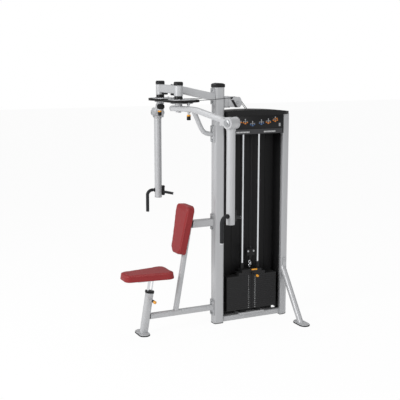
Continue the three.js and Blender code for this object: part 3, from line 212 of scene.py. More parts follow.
def hose(bm, points, radius, sides=16):
    """Round tube of one radius, or one radius per point, along a row of points."""
    points = [Vector(p) for p in points]
    radii = radius if isinstance(radius, list) else [radius] * len(points)
    u = None
    rings = []
    for i, p in enumerate(points):
        along = (points[min(i + 1, len(points) - 1)] - points[max(i - 1, 0)]).normalized()
        u = along.orthogonal().normalized() if u is None else (u - along * u.dot(along)).normalized()
        v = along.cross(u)
        rings.append([p + (u * math.cos(t) + v * math.sin(t)) * radii[i]
                      for t in (2 * math.pi * k / sides for k in range(sides))])
    loft(bm, rings)


def block(bm, low, high, bevel=0.001, segments=2):
    """Box with rounded edges."""
    made = bmesh.ops.create_cube(bm, size=1)
    low, high = Vector(low), Vector(high)
    for v in made["verts"]:
        v.co = Vector([(low[i] + high[i]) / 2 + v.co[i] * (high[i] - low[i]) for i in range(3)])
    if bevel:
        edges = {e for v in made["verts"] for e in v.link_edges}
        bmesh.ops.bevel(bm, geom=list(edges), offset=bevel, segments=segments, affect="EDGES", profile=0.5)


def rounded(width, height, corner, steps=6):
    """Rounded rectangle as (x, y) points, centred on the origin."""
    points = []
    for k, (sx, sy) in enumerate(((1, 1), (-1, 1), (-1, -1), (1, -1))):
        for i in range(steps + 1):
            t = math.pi / 2 * (k + i / steps)
            points.append((sx * (width / 2 - corner) + corner * math.cos(t),
                           sy * (height / 2 - corner) + corner * math.sin(t)))
    return points


def plug(bm, outline, place, thick, crown, proud=0.0):
    """Flat cap with a domed face, drawn in XY and set in place by a matrix."""
    rings = []
    for scale, z in ((1 + proud, 0), (1 + proud, thick * 0.5), (0.96, thick), (0.7, thick + crown * 0.7),
                     (0.3, thick + crown)):
        rings.append([place @ Vector((x * scale, y * scale, z)) for x, y in outline])
    loft(bm, rings)


def hexagon(bm, origin, axis, radius, height, washer=0.0):
    """Hex head on a washer, with a chamfered crown."""
    if washer:
        rod(bm, origin, Vector(origin) + Vector(axis).normalized() * 0.0018, washer, 28, 0.0004)
    lathe(bm, origin, axis, [(radius, 0), (radius, height * 0.8), (radius * 0.86, height)], 6)


def copied(node):
    bm = bmesh.new()
    bm.from_mesh(NODES[node].data)
    bmesh.ops.remove_doubles(bm, verts=bm.verts, dist=1e-6)
    return bm


# ---------------------------------------------------------------- CAD nodes that stay
CARRIED = {
    "frame": ["boom_tube", "pivot_crossbar", "curved_brace", "back_support_tube", "back_link_tube", "seat_tube",
              "seat_beam", "tower_base_beam", "tower_top_plate", "guide_bracket"]
    + [f"{part}_{side}" for part in ("pivot_housing", "cam_shaft", "swing_arm", "hang_tube", "stabiliser_leg")
       for side, _ in SIDES],
    "upright": ["main_upright", "rear_upright"],
    "chrome": ["guide_rod_front", "guide_rod_rear", "seat_post"],
    "bolt": ["hub_axle_left", "hub_axle_right"],
    "plastic": ["main_upright_cap", "pivot_cap_left", "pivot_cap_right", "seat_collar", "tower_top_cap",
                "guide_sheave_left", "guide_sheave_right", "header_sheave"],
    "paint": ["cam_left", "cam_right"],
    "panel": ["tower_header"],
    "shroud": ["tower_shroud"],
    "rubber": ["seat_foot_pad", "leg_foot_pad_left", "leg_foot_pad_right"],
    "plate": ["resting_plates", "first_plate", "head_plate"],
    "yellow": ["selector_pin", "add_on_lever", "seat_pin", "index_pin_left", "index_pin_right"],
    "foam": ["fly_grip_left", "fly_grip_right", "rear_grip_left", "rear_grip_right"],
    "vinyl": ["back_pad", "seat_pad"],
    "sheath": ["cable_left", "cable_right", "lift_bracket"],
}
for look, names in CARRIED.items():
    for name in names:
        mesh = NODES[name].data
        mesh.materials.clear()
        mesh.materials.append(LOOK[look])
        settle(mesh)

# ---------------------------------------------------------------- pivots, cams and arms
PIVOT = Vector((0.176, -0.428, 0))
ARM_ANGLE = math.radians(20.5)
HUB = Vector((0.537, 0, 1.728))
ARM_Z = (1.794, 1.830)


def arm_place(side):
    angle = ARM_ANGLE if side > 0 else math.pi - ARM_ANGLE
    return Matrix.Translation((side * PIVOT.x, PIVOT.y, 0)) @ Matrix.Rotation(angle, 4, "Z")


def build_pivot(name, side):
    at = Vector((side * PIVOT.x, PIVOT.y, 0))
    centre = at + Vector((-side * 0.021, 0.037, 0))
    bm = bmesh.new()
    lathe(bm, at + Vector((0, 0, 1.8800)), (0, 0, 1), [(0.0295, 0), (0.0325, 0.002), (0.0325, 0.017), (0.0295, 0.0232)], 40)
    make(f"cam_washer_{name}", bm, "plastic", f"cam_{name}")
    bm = bmesh.new()
    for z, axis, ring in ((1.8788, 1, 0.088), (1.8470, -1, 0.070)):
        for k in range(6):
            t = math.radians(60 * k + 22)
            spot = centre + Vector((ring * math.cos(t), ring * math.sin(t), z))
            if (spot.xy - at.xy).length > 0.042:
                hexagon(bm, spot, (0, 0, axis), 0.0065, 0.0045, 0.009)
    make(f"cam_bolts_{name}", bm, "bolt", f"cam_{name}")
    bm = bmesh.new()
    slot_end = math.radians(-10 if side > 0 else 190)
    for z, half_gap in ((1.8742, 0), (1.8598, math.radians(6.5))):
        turn = 2 * math.pi - 2 * half_gap
        hose(bm, [centre + Vector((0.1355 * math.cos(t), 0.1355 * math.sin(t), z))
                  for t in (slot_end + half_gap + turn * k / 72 for k in range(73))], 0.0012, 8)
    make(f"cam_rim_{name}", bm, "rubber", f"cam_{name}")
    bm = bmesh.new()
    lathe(bm, at + Vector((0, 0, 1.9036)), (0, 0, 1), [(0.0342, 0), (0.0352, 0.001), (0.0352, 0.004), (0.0342, 0.005)], 40)
    lathe(bm, at + Vector((0, 0, 1.981)), (0, 0, 1), [(0.0342, 0), (0.0352, 0.001), (0.0352, 0.004), (0.0342, 0.005)], 40)
    make(f"housing_rings_{name}", bm, "grey", "frame")


def build_arm(name, side):
    place = arm_place(side)
    arm, drop = f"arm_{name}", f"drop_{name}"
    forward = Vector((0, -side, 0))

    bm = bmesh.new()
    inward = Matrix.Translation((-0.062, 0, 1.810)) @ Matrix.Rotation(-math.pi / 2, 4, "Y")
    plug(bm, rounded(0.041, 0.061, 0.018), inward, 0.005, 0.003, 0.012)
    make(f"arm_end_cap_{name}", bm, "plastic", arm, place)
    bm = bmesh.new()
    spot = Vector((0.110, 0, 0))
    lathe(bm, spot + Vector((0, 0, 1.7785)), (0, 0, 1), [(0.0105, 0), (0.0125, 0.0015), (0.0125, 0.0118)], 28)
    make(f"pin_sleeve_{name}", bm, "frame", arm, place)
    bm = bmesh.new()
    for end in (-1, 1):
        y = end * 0.0518
        lathe(bm, (HUB.x, y, HUB.z), (0, end, 0), [(0.0235, 0), (0.0235, 0.0016), (0.021, 0.0024)], 32)
    make(f"hub_washers_{name}", bm, "bolt", arm, place)

    bm = bmesh.new()
    low = 1.727
    lathe(bm, spot + Vector((0, 0, low)), (0, 0, 1), [
        (0.0105, 0), (0.0140, 0.0012), (0.0155, 0.004), (0.0155, 0.009), (0.0144, 0.0105), (0.0144, 0.0125),
        (0.0155, 0.014), (0.0155, 0.0195), (0.0144, 0.021), (0.0144, 0.0225), (0.0153, 0.0240), (0.0148, 0.029)], 32)
    make(f"index_pin_grip_{name}", bm, "plastic", f"index_pin_{name}", place)
    bm = bmesh.new()
    lathe(bm, spot + Vector((0, 0, low + 0.0292)), (0, 0, 1), [
        (0.0130, 0), (0.0146, 0.001), (0.0146, 0.0115), (0.0130, 0.0128)], 32)
    make(f"index_pin_collar_{name}", bm, "yellow", f"index_pin_{name}", place)
    bm = bmesh.new()
    rod(bm, spot + Vector((0, 0, low + 0.0421)), spot + Vector((0, 0, 1.862)), 0.0045, 20)
    rod(bm, spot + Vector((0, 0, low + 0.0421)), spot + Vector((0, 0, 1.7772)), 0.0074, 24)
    make(f"index_pin_shank_{name}", bm, "chrome", f"index_pin_{name}", place, (f"index_pin_{name}",))

    tube = Vector((HUB.x, 0, 0))
    bm = bmesh.new()
    bottom = Matrix.Translation((HUB.x, 0, 0.985)) @ Matrix.Rotation(math.pi, 4, "X")
    circle = [(0.0318 * math.cos(t), 0.0318 * math.sin(t)) for t in (2 * math.pi * k / 36 for k in range(36))]
    plug(bm, circle, bottom, 0.0025, 0.001, 0.01)
    make(f"hang_tube_plug_{name}", bm, "grey", drop, place)
    bm = bmesh.new()
    for end in (-1, 1):
        lathe(bm, (HUB.x, end * 0.036, HUB.z), (0, end, 0), [(0.0421, 0), (0.0434, 0.001), (0.0434, 0.0035), (0.0421, 0.005)], 40)
    lathe(bm, tube + Vector((0, 0, 1.672)), (0, 0, 1), [(0.0318, 0), (0.0350, 0.003), (0.0350, 0.012), (0.0318, 0.017)], 40)
    make(f"hub_collars_{name}", bm, "frame", drop, place)

    reach, bend, z = 0.095, 0.046, 1.048
    path = [tube + forward * (0.0322 + (reach - bend - 0.0322) * k / 3) + Vector((0, 0, z)) for k in range(4)]
    for k in range(1, 11):
        t = math.pi / 2 * k / 10
        path.append(tube + forward * (reach - bend + bend * math.sin(t)) + Vector((0, 0, z - bend + bend * math.cos(t))))
    straight = path[-1].z
    path += [Vector((path[-1].x, path[-1].y, straight + (0.857 - straight) * k / 8)) for k in range(1, 9)]
    bm = bmesh.new()
    hose(bm, path, [0.0125] * 3 + [0.0142] * (len(path) - 4) + [0.0136], 24)
    make(f"fly_grip_cover_{name}", bm, "foam", drop, place, (f"fly_grip_{name}",))
    bm = bmesh.new()
    tip = tube + forward * reach
    lathe(bm, tip + Vector((0, 0, 0.8568)), (0, 0, -1), [(0.0138, 0), (0.0138, 0.0025), (0.0128, 0.0042), (0.008, 0.0048)], 28)
    make(f"fly_grip_end_{name}", bm, "white", drop, place)
    bm = bmesh.new()
    lathe(bm, tube + forward * 0.0322 + Vector((0, 0, z)), forward, [(0.0185, -0.004), (0.0185, 0.002), (0.0155, 0.0055), (0.0126, 0.0065)], 28)
    make(f"fly_grip_boss_{name}", bm, "plastic", drop, place)

    back = -forward
    inward, droop = math.sin(math.radians(9)), math.sin(math.radians(8.5))
    start = tube + back * 0.0215 + Vector((0, 0, 1.036))
    end = tube + back * 0.134 + Vector((-0.134 * inward, 0, 1.036 - 0.134 * droop))
    along = (end - start).normalized()
    bm = bmesh.new()
    count = 14
    hose(bm, [start + along * ((end - start).length - 0.005) * k / count for k in range(count + 1)],
         [0.0118 if k > 4 else 0.0105 for k in range(count + 1)], 24)
    make(f"rear_grip_cover_{name}", bm, "foam", drop, place)
    bm = bmesh.new()
    lathe(bm, end - along * 0.0052, along, [(0.0117, 0), (0.0117, 0.0025), (0.0105, 0.0044), (0.006, 0.005)], 28)
    make(f"rear_grip_end_{name}", bm, "white", drop, place)
    bm = bmesh.new()
    y = sorted((side * 0.0300, side * 0.0560))
    block(bm, (HUB.x - 0.0125, y[0], 1.0005), (HUB.x + 0.0125, y[1], 1.0875), 0.006, 4)
    make(f"rear_grip_bracket_{name}", bm, "plastic", drop, place, (f"rear_grip_{name}",))
    bm = bmesh.new()
    for z in (1.012, 1.076):
        hexagon(bm, tube + back * 0.0558 + Vector((0, 0, z)), back, 0.0055, 0.0032, 0.008)
    make(f"rear_grip_bolts_{name}", bm, "bolt", drop, place)


# ---------------------------------------------------------------- frame details
def build_frame_details():
    bm = bmesh.new()
    face = -0.0503
    for z in (1.890, 1.588, 0.865, 0.140):
        for end in (-1, 1):
            spot = Vector((0, face - 0.0002, z + end * 0.055))
            lathe(bm, spot, (0, -1, 0), [(0.0145, 0), (0.0145, 0.0022), (0.0120, 0.0030)], 32)
            lathe(bm, spot + Vector((0, -0.0075, 0)), (0, -1, 0), [(0.0072, 0), (0.0066, 0.0032), (0.0035, 0.0046)], 24)
    make("flange_washers", bm, "bolt", "frame")
    bm = bmesh.new()
    for z in (1.890, 1.588, 0.865, 0.140):
        for x in (-0.024, 0.024):
            block(bm, (x - 0.004, face - 0.0045, z - 0.064), (x + 0.004, face + 0.0002, z + 0.064), 0.0022, 3)
    make("flange_ribs", bm, "frame", "frame")

    for label, outline, y in (
            ("front", rounded(0.0812, 0.0892, 0.0186), 0.0),
            ("rear", [(0.0454 * math.cos(t), 0.6048 + (0.0604 * math.sin(t) if math.sin(t) > 0 else 0.0202 * math.sin(t) ** 0 * -1))
                      for t in (2 * math.pi * k / 48 for k in range(49))][:48], 0.0)):
        bm = bmesh.new()
        loft(bm, [[(px, py + y, z) for px, py in outline] for z in (0.0002, 0.006)])
        make(f"upright_foot_{label}", bm, "rubber", "frame")

    bm = bmesh.new()
    block(bm, (-0.022, -0.400, 1.9045), (0.022, -0.330, 1.9215), 0.004, 3)
    block(bm, (0.060, -0.4445, 1.9065), (0.108, -0.4115, 1.9215), 0.004, 3)
    block(bm, (-0.108, -0.4445, 1.9065), (-0.060, -0.4115, 1.9215), 0.004, 3)
    make("crossbar_stops", bm, "plastic", "frame")
    bm = bmesh.new()
    lathe(bm, (0, -0.262, 1.8462), (0, 0, 1), [(0.0085, -0.020), (0.0125, -0.018), (0.0125, -0.001), (0.0105, 0.0015)], 32)
    make("arm_stop_bumper", bm, "rubber", "frame")

    bm = bmesh.new()
    for x in (0.0375, -0.0375):
        hexagon(bm, (x, 0.160, 1.838), (1 if x > 0 else -1, 0, 0), 0.0105, 0.0075, 0.0150)
    make("guide_axle_nuts", bm, "bolt", "frame")
    bm = bmesh.new()
    rings = []
    for x, inset in ((-0.038, 0.001), (-0.037, 0), (0.0385, 0), (0.0395, 0.001)):
        rings.append([Vector((x, y, z)) for y, z in (
            (0.0985 + inset, 1.8585), (0.1365 + inset, 1.7985 + inset), (0.1600 - inset, 1.7985 + inset),
            (0.1220 - inset, 1.8585))])
    loft(bm, rings)
    make("guide_guard", bm, "plastic", "frame")
    bm = bmesh.new()
    for y in (0.233, 0.381):
        lathe(bm, (0, y, 0.0652), (0, 0, 1), [(0.0288, 0), (0.0300, 0.003), (0.0296, 0.012), (0.0300, 0.020), (0.0285, 0.0285)], 40)
    make("stack_bumpers", bm, "rubber", "frame")


def build_header():
    x = 0.0851
    bm = bmesh.new()
    block(bm, (x - 0.0004, 0.0720, 1.6285), (x + 0.0016, 0.5540, 1.7260), 0.0009, 2)
    make("header_panel", bm, "panel", "frame")
    bm = bmesh.new()
    block(bm, (x - 0.0004, 0.0600, 1.5815), (x + 0.0022, 0.5560, 1.6205), 0.0009, 2)
    make("header_band", bm, "band", "frame")
    bm = bmesh.new()
    for y0, y1 in ((0.124, 0.247), (0.379, 0.490)):
        for k in range(9):
            a = y0 + (y1 - y0) * k / 9
            block(bm, (x + 0.0020, a, 1.5915), (x + 0.0026, a + (y1 - y0) / 9 * 0.72, 1.6035), 0.0002, 1)
    make("header_band_marks", bm, "print", "frame")
    dots, bars = {"orange": bmesh.new(), "blue": bmesh.new(), "grey": bmesh.new()}, (x + 0.0014, x + 0.0019)

    def mark(look, y, z, wide, high):
        block(dots[look], (bars[0], y - wide / 2, z - high / 2), (bars[1], y + wide / 2, z + high / 2), 0.0002, 1)

    for y, z, look in ((0.149, 1.685, "orange"), (0.205, 1.682, "orange"), (0.272, 1.664, "blue"),
                       (0.355, 1.673, "blue"), (0.420, 1.679, "orange"), (0.486, 1.693, "orange")):
        lathe(dots["grey"], (bars[0], y, z + 0.019), (1, 0, 0), [(0.0050, 0), (0.0050, 0.0005)], 16)
        mark("grey", y, z + 0.003, 0.006, 0.020)
        mark("grey", y, z + 0.004, 0.046, 0.0035)
        for end in (-1, 1):
            mark(look, y + end * 0.018, z - 0.006, 0.012, 0.008)
        mark(look, y, z - 0.014, 0.016, 0.010)
    mark("grey", 0.528, 1.650, 0.016, 0.026)
    mark("orange", 0.492, 1.700, 0.030, 0.010)
    for look, made in dots.items():
        make(f"header_marks_{look}", made, look, "frame")


def build_shroud():
    bm = bmesh.new()
    for y in (0.115, 0.180, 0.262, 0.352, 0.434, 0.500):
        block(bm, (-0.0910, y - 0.005, 0.085), (-0.0862, y + 0.005, 1.572), 0.002, 2)
    make("shroud_ribs", bm, "shroud", "frame")
    # Black strips set in the gaps between the shroud and the two uprights: painted shade of those gaps.
    bm = bmesh.new()
    block(bm, (0.0195, 0.0481, 0.062), (0.0225, 0.0535, 1.572), 0.0012, 2)
    block(bm, (0.0195, 0.5725, 0.062), (0.0225, 0.5779, 1.572), 0.0012, 2)
    make("shroud_gap_shade_strips", bm, "rubber", "frame")


# ---------------------------------------------------------------- weight stack
PITCH, STACK_BOTTOM, PLATES = 0.0173, 0.094, 17
PIN_Z = STACK_BOTTOM + PLATES * PITCH + 0.0003 + 0.0127
HEAD_TOP = STACK_BOTTOM + PLATES * PITCH + 0.0006 + 0.0254 + 0.0217
ROD_Y = 0.307


def number_mesh(text, size):
    curve = bpy.data.curves.new("number", "FONT")
    curve.body = text
    curve.size = size
    curve.align_x = "CENTER"
    curve.align_y = "CENTER"
    curve.resolution_u = 2
    holder = bpy.data.objects.new("number", curve)
    bpy.context.scene.collection.objects.link(holder)
    mesh = bpy.data.meshes.new_from_object(holder.evaluated_get(bpy.context.evaluated_depsgraph_get()))
    bpy.data.objects.remove(holder)
    return mesh


def build_plates():
    bm = bmesh.new()
    turn = Matrix(((0, 0, 1), (1, 0, 0), (0, 1, 0))).to_4x4()
    for i in range(PLATES):
        z = STACK_BOTTOM + (PLATES - 1 - i) * PITCH + PITCH * 0.47
        for y, text in ((0.276, str(i + 2)), (0.338, str(5 * (i + 2)))):
            mesh = number_mesh(text, 0.0125)
            mesh.transform(Matrix.Translation((0.0404, y, z)) @ turn)
            bm.from_mesh(mesh)
            bpy.data.meshes.remove(mesh)
    mesh = bpy.data.meshes.new("plate_numbers")
    bm.to_mesh(mesh)
    bm.free()
    mesh.materials.append(LOOK["print"])
    obj = bpy.data.objects.new("plate_numbers", mesh)
    bpy.context.scene.collection.objects.link(obj)
    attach(obj, "frame")
    bm = bmesh.new()
    for i in range(PLATES):
        z = STACK_BOTTOM + i * PITCH + PITCH * 0.47
        lathe(bm, (0.0398, ROD_Y, z), (1, 0, 0), [(0.0062, 0), (0.0062, 0.0006), (0.0048, 0.0009)], 20)
    make("plate_pin_rings", bm, "rubber", "frame")


def build_carriage():
    bm = bmesh.new()
    for y in (0.233, 0.381):
        lathe(bm, (0, y, HEAD_TOP + 0.0005), (0, 0, 1), [
            (0.0205, 0), (0.0210, 0.002), (0.0210, 0.006), (0.0165, 0.008), (0.0160, 0.045), (0.0165, 0.0525),
            (0.0140, 0.0545)], 36)
    make("guide_sleeves", bm, "plastic", "stack")

    bm = bmesh.new()
    rod(bm, (0, ROD_Y, HEAD_TOP + 0.0004), (0, ROD_Y, HEAD_TOP + 0.010), 0.0125, 28)
    block(bm, (-0.0185, ROD_Y - 0.037, 0.545), (0.0185, ROD_Y + 0.037, 0.611), 0.010, 4)
    lathe(bm, (0, ROD_Y, 0.507), (0, 0, 1), [(0.0075, 0), (0.0095, 0.003), (0.0150, 0.030), (0.0165, 0.042)], 28)
    make("lift_block", bm, "plastic", "stack", replaces=("lift_bracket",))
    bm = bmesh.new()
    low, high = HEAD_TOP + 0.0095, 0.5085
    middle = (low + high) / 2
    quarter = (high - low) / 4
    points = []
    for k in range(21):
        t = math.pi * (1.5 - 1.5 * k / 20)
        points.append((0.002, ROD_Y + quarter * 0.62 * math.cos(t), middle - quarter + quarter * 0.85 * math.sin(t)))
    for k in range(21):
        t = math.pi * (1.0 + 1.5 * k / 20)
        points.append((-0.002, ROD_Y + 0.0005 - quarter * 0.62 * math.cos(t - math.pi) * -1,
                       middle + quarter - quarter * 0.85 * math.sin(t - math.pi) * 1))
    hose(bm, points, 0.0032, 12)
    rod(bm, (0, ROD_Y, low - 0.001), (0, ROD_Y, low + 0.010), 0.0045, 16)
    rod(bm, (0, ROD_Y, high - 0.010), (0, ROD_Y, high + 0.001), 0.0045, 16)
    make("lift_hook", bm, "chrome", "stack")
    bm = bmesh.new()
    for y in (0.281, 0.333):
        hexagon(bm, (0.0184, y, 0.588), (1, 0, 0), 0.0062, 0.004, 0.0085)
    make("lift_bolts", bm, "bolt", "stack")
    bm = bmesh.new()
    for y in (-0.014, 0.014):
        lathe(bm, (y, ROD_Y, 0.6108), (0, 0, 1), [(0.0065, 0), (0.0065, 0.010), (0.0040, 0.016)], 20)
    make("cable_ends", bm, "sheath", "stack")

    bm = bmesh.new()
    rod(bm, (-0.0085, ROD_Y, PIN_Z), (0.118, ROD_Y, PIN_Z), 0.0044, 20)
    make("selector_pin_rod", bm, "chrome", "selector_pin", replaces=("selector_pin",))
    bm = bmesh.new()
    lathe(bm, (0.0412, ROD_Y, PIN_Z), (1, 0, 0), [(0.0078, 0), (0.0082, 0.001), (0.0082, 0.013), (0.0060, 0.0142)], 28)
    lathe(bm, (0.1130, ROD_Y, PIN_Z), (1, 0, 0), [(0.0070, 0), (0.0096, 0.0015), (0.0098, 0.010), (0.0085, 0.0112)], 28)
    make("selector_pin_collar", bm, "plastic", "selector_pin")
    bm = bmesh.new()
    lathe(bm, (0.1243, ROD_Y, PIN_Z), (1, 0, 0), [
        (0.0075, 0), (0.0097, 0.0015), (0.0100, 0.006), (0.0100, 0.0155), (0.0088, 0.0195), (0.0050, 0.0215)], 32)
    make("selector_pin_knob", bm, "yellow", "selector_pin")

    pivot = Vector((0.022, ROD_Y + 0.015, HEAD_TOP + 0.0005))
    bm = bmesh.new()
    end = Vector((0.076, ROD_Y + 0.001, HEAD_TOP + 0.0005))
    way = (end - pivot).normalized()
    across = Vector((-way.y, way.x, 0)) * 0.0065
    rings = []
    for z, grow in ((0, 0.94), (0.0008, 1), (0.0052, 1), (0.006, 0.94)):
        rings.append([p + Vector((0, 0, z)) for p in (
            pivot - across * grow, end - across * grow, end + across * grow, pivot + across * grow)])
    loft(bm, rings)
    lathe(bm, pivot, (0, 0, 1), [(0.0100, 0), (0.0108, 0.0008), (0.0108, 0.0066), (0.0095, 0.0078)], 28)
    make("add_on_lever_arm", bm, "plastic", "add_on_lever", replaces=("add_on_lever",))
    bm = bmesh.new()
    z = HEAD_TOP + 0.0003 + 0.0075
    lathe(bm, (0.082, ROD_Y - 0.0258, z), (0, 1, 0), [
        (0.0030, 0), (0.0054, 0.0010), (0.0064, 0.004), (0.0064, 0.0476), (0.0054, 0.0506), (0.0030, 0.0516)], 28)
    make("add_on_lever_bar", bm, "yellow", "add_on_lever")


# ---------------------------------------------------------------- cables
def build_cable(name, side):
    """The fixed run over the sheaves, and the drop that shortens as the stack rises."""
    x = side * 0.014
    turn = 0.0415
    guide, header = (0.160, 1.838), (0.2655, 1.708)
    fall = math.atan2(guide[1] - header[1], header[0] - guide[0])
    cam = Vector((side * 0.155, -0.428 + 0.037 + 0.139, 1.867))

    def around(centre, a, b, steps):
        return [Vector((x, centre[0] + turn * math.sin(a + (b - a) * k / steps),
                        centre[1] + turn * math.cos(a + (b - a) * k / steps))) for k in range(steps + 1)]

    over = around(guide, 0, fall, 8)
    lead = [cam.lerp(over[0], k / 14) for k in range(14)]
    for k, p in enumerate(lead):
        p.z -= 0.0035 * math.sin(math.pi * k / 14)
    route = lead + over + around(header, fall, math.pi / 2, 8)
    bm = bmesh.new()
    hose(bm, route, 0.0026, 12)
    make(f"cable_run_{name}", bm, "cable", "frame")
    bm = bmesh.new()
    top = route[-1]
    hose(bm, [top.lerp(Vector((x, top.y, 0.6255)), k / 24) for k in range(25)], 0.0026, 12)
    drop = make(f"cable_drop_{name}", bm, "sheath", "frame", replaces=(f"cable_{name}",))
    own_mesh(drop)


# ---------------------------------------------------------------- seat pin
def build_seat_details():
    lean = math.radians(9.4)
    z = 0.280 / math.cos(lean)
    place = Matrix.Translation((0, -0.666, 0)) @ Matrix.Rotation(-lean, 4, "X")
    y = 0.017
    bm = bmesh.new()
    rod(bm, (0.0065, y, z), (0.060, y, z), 0.0048, 20)
    lathe(bm, (0.0424, y, z), (1, 0, 0), [(0.0092, 0), (0.0098, 0.001), (0.0098, 0.0065), (0.0080, 0.008)], 6)
    make("seat_pin_shank", bm, "chrome", "seat_pin", place, ("seat_pin",))
    bm = bmesh.new()
    lathe(bm, (0.0505, y, z), (1, 0, 0), [(0.0080, 0), (0.0110, 0.0025), (0.0118, 0.012), (0.0122, 0.026), (0.0110, 0.0285)], 32)
    make("seat_pin_grip", bm, "plastic", "seat_pin", place)
    bm = bmesh.new()
    lathe(bm, (0.0792, y, z), (1, 0, 0), [
        (0.0095, 0), (0.0118, 0.003), (0.0129, 0.008), (0.0130, 0.0145), (0.0122, 0.020), (0.0100, 0.0250), (0.0060, 0.0282)], 36)
    make("seat_pin_knob", bm, "yellow", "seat_pin", place)
    bm = bmesh.new()
    outline = [(px * 0.9, py * 0.9) for px, py in rounded(0.13, 0.26, 0.03)]
    loft(bm, [[(px, py - 0.625, z) for px, py in outline] for z in (0.4490, 0.4558)])
    make("seat_board", bm, "plastic", "seat")


# ---------------------------------------------------------------- pads
def pad_start(node):
    """The CAD pad with its flat faces merged."""
    bm = copied(node)
    bmesh.ops.dissolve_limit(bm, angle_limit=math.radians(1), verts=bm.verts, edges=bm.edges)
    return bm


def build_pad(name, node, body, place, thick, cap):
    """Cushion swelled from its slightly smaller CAD solid. place takes pad coordinates (face up) to the row frame."""
    bm = pad_start(node)
    bm.transform(place.inverted())
    low = Vector([min(v.co[i] for v in bm.verts) for i in range(3)])
    high = Vector([max(v.co[i] for v in bm.verts) for i in range(3)])
    middle = (low + high) / 2
    size = high - low
    inset = 0.0012
    for v in bm.verts:
        for i in range(3):
            v.co[i] = middle[i] + (v.co[i] - middle[i]) * (1 - 2 * inset / size[i])
    rim = [e for e in bm.edges if e.calc_face_angle(0) > math.radians(60)]
    bmesh.ops.bevel(bm, geom=rim, offset=0.0065, segments=4, affect="EDGES", profile=0.5)
    bmesh.ops.triangulate(bm, faces=bm.faces)
    mesh = bpy.data.meshes.new(name)
    bm.to_mesh(mesh)
    bm.free()
    obj = bpy.data.objects.new(name, mesh)
    bpy.context.scene.collection.objects.link(obj)
    bpy.context.view_layer.objects.active = obj
    obj.select_set(True)
    remesh = obj.modifiers.new("remesh", "REMESH")
    remesh.mode = "VOXEL"
    remesh.voxel_size = 0.0055
    bpy.ops.object.modifier_apply(modifier="remesh")
    rest = [v.co.copy() for v in obj.data.vertices]
    cloth = obj.modifiers.new("cloth", "CLOTH")
    cloth.settings.quality = 5
    cloth.settings.mass = 0.3
    cloth.settings.tension_stiffness = 15
    cloth.settings.compression_stiffness = 15
    cloth.settings.use_pressure = True
    cloth.settings.uniform_pressure_force = 4
    cloth.settings.effector_weights.gravity = 0
    cloth.point_cache.frame_start = 1
    cloth.point_cache.frame_end = 20
    for step in range(1, 21):
        bpy.context.scene.frame_set(step)
    bpy.ops.object.modifier_apply(modifier="cloth")
    bpy.context.scene.frame_set(1)
    back = low.z + 0.004
    for v, start in zip(obj.data.vertices, rest):
        move = v.co - start
        share = min(max((start.z - back) / (thick * 0.6), 0.12), 1)
        limit = cap * share
        if move.length > limit:
            move = move.normalized() * limit
        v.co = start + move
    smooth = obj.modifiers.new("smooth", "SMOOTH")
    smooth.factor = 0.5
    smooth.iterations = 3
    bpy.ops.object.modifier_apply(modifier="smooth")
    finer = obj.modifiers.new("finer", "SUBSURF")
    finer.levels = 1
    bpy.ops.object.modifier_apply(modifier="finer")
    for v in obj.data.vertices:
        for i in range(3):
            v.co[i] = min(max(v.co[i], low[i] - 0.004), high[i] + 0.004)
        v.co.z = max(v.co.z, low.z + 0.0004)
    obj.select_set(False)
    obj.data.polygons.foreach_set("use_smooth", [True] * len(obj.data.polygons))
    tree = BVHTree.FromPolygons([v.co for v in obj.data.vertices], [p.vertices for p in obj.data.polygons])
    build_welt(name, node, body, place, tree, low, high)
    obj.data.transform(place)
    obj.data.materials.append(LOOK["vinyl"])
    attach(obj, body)
    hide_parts(node)
    return obj


def outline_of(node, place, z, inset):
    """The pad's edge loop at one height, as ordered points pulled in by inset."""
    inverse = place.inverted()
    co = [inverse @ v.co for v in NODES[node].data.vertices]
    top = max(c.z for c in co)
    rim = [c for c in co if c.z > top - 0.001]
    centre = sum(rim, Vector()) / len(rim)
    rim.sort(key=lambda c: math.atan2(c.y - centre.y, c.x - centre.x))
    dense = []
    for a, b in zip(rim, rim[1:] + rim[:1]):
        steps = max(1, int((b - a).length / 0.012))
        dense += [a.lerp(b, k / steps) for k in range(steps)]
    return [Vector((c.x + (centre.x - c.x) * inset / 0.1, c.y + (centre.y - c.y) * inset / 0.15, z)) for c in dense]


def build_welt(name, node, body, place, tree, low, high):
    """A raised seam where the face panel meets the side panel, in a lighter vinyl that paints the edge's highlight."""
    points = []
    for p in outline_of(node, place, high.z + 0.002, 0.003):
        found = tree.find_nearest(p)
        points.append(found[0] + found[1] * 0.0002)
    count = len(points)
    rings = []
    for i, p in enumerate(points):
        along = (points[(i + 1) % count] - points[i - 1]).normalized()
        u = along.cross(Vector((0, 0, 1))).normalized()
        v = along.cross(u)
        rings.append([p + (u * math.cos(t) + v * math.sin(t)) * 0.0013
                      for t in (2 * math.pi * k / 8 for k in range(8))])
    bm = bmesh.new()
    loft(bm, rings, closed=True)
    # The seam takes the lighter vinyl, which paints the highlight along the pad edge.
    make(f"{name}_seam", bm, "welt_highlight", body, place)


# ---------------------------------------------------------------- build it all
for name, side in SIDES:
    build_pivot(name, side)
    build_arm(name, side)
    build_cable(name, side)
build_frame_details()
build_header()
build_shroud()
build_plates()
build_carriage()
build_seat_details()

back_place = (Matrix.Translation((0, -0.381, 0.162)) @ Matrix.Rotation(math.radians(-10), 4, "X")
              @ Matrix.Translation((0, -0.0253, 0.462)) @ Matrix.Rotation(math.radians(90), 4, "X"))
build_pad("back_cushion", "back_pad", "frame", back_place, 0.060, 0.007)
seat_place = Matrix.Translation((0, -0.842, 0.456))
build_pad("seat_cushion", "seat_pad", "seat", seat_place, 0.054, 0.007)


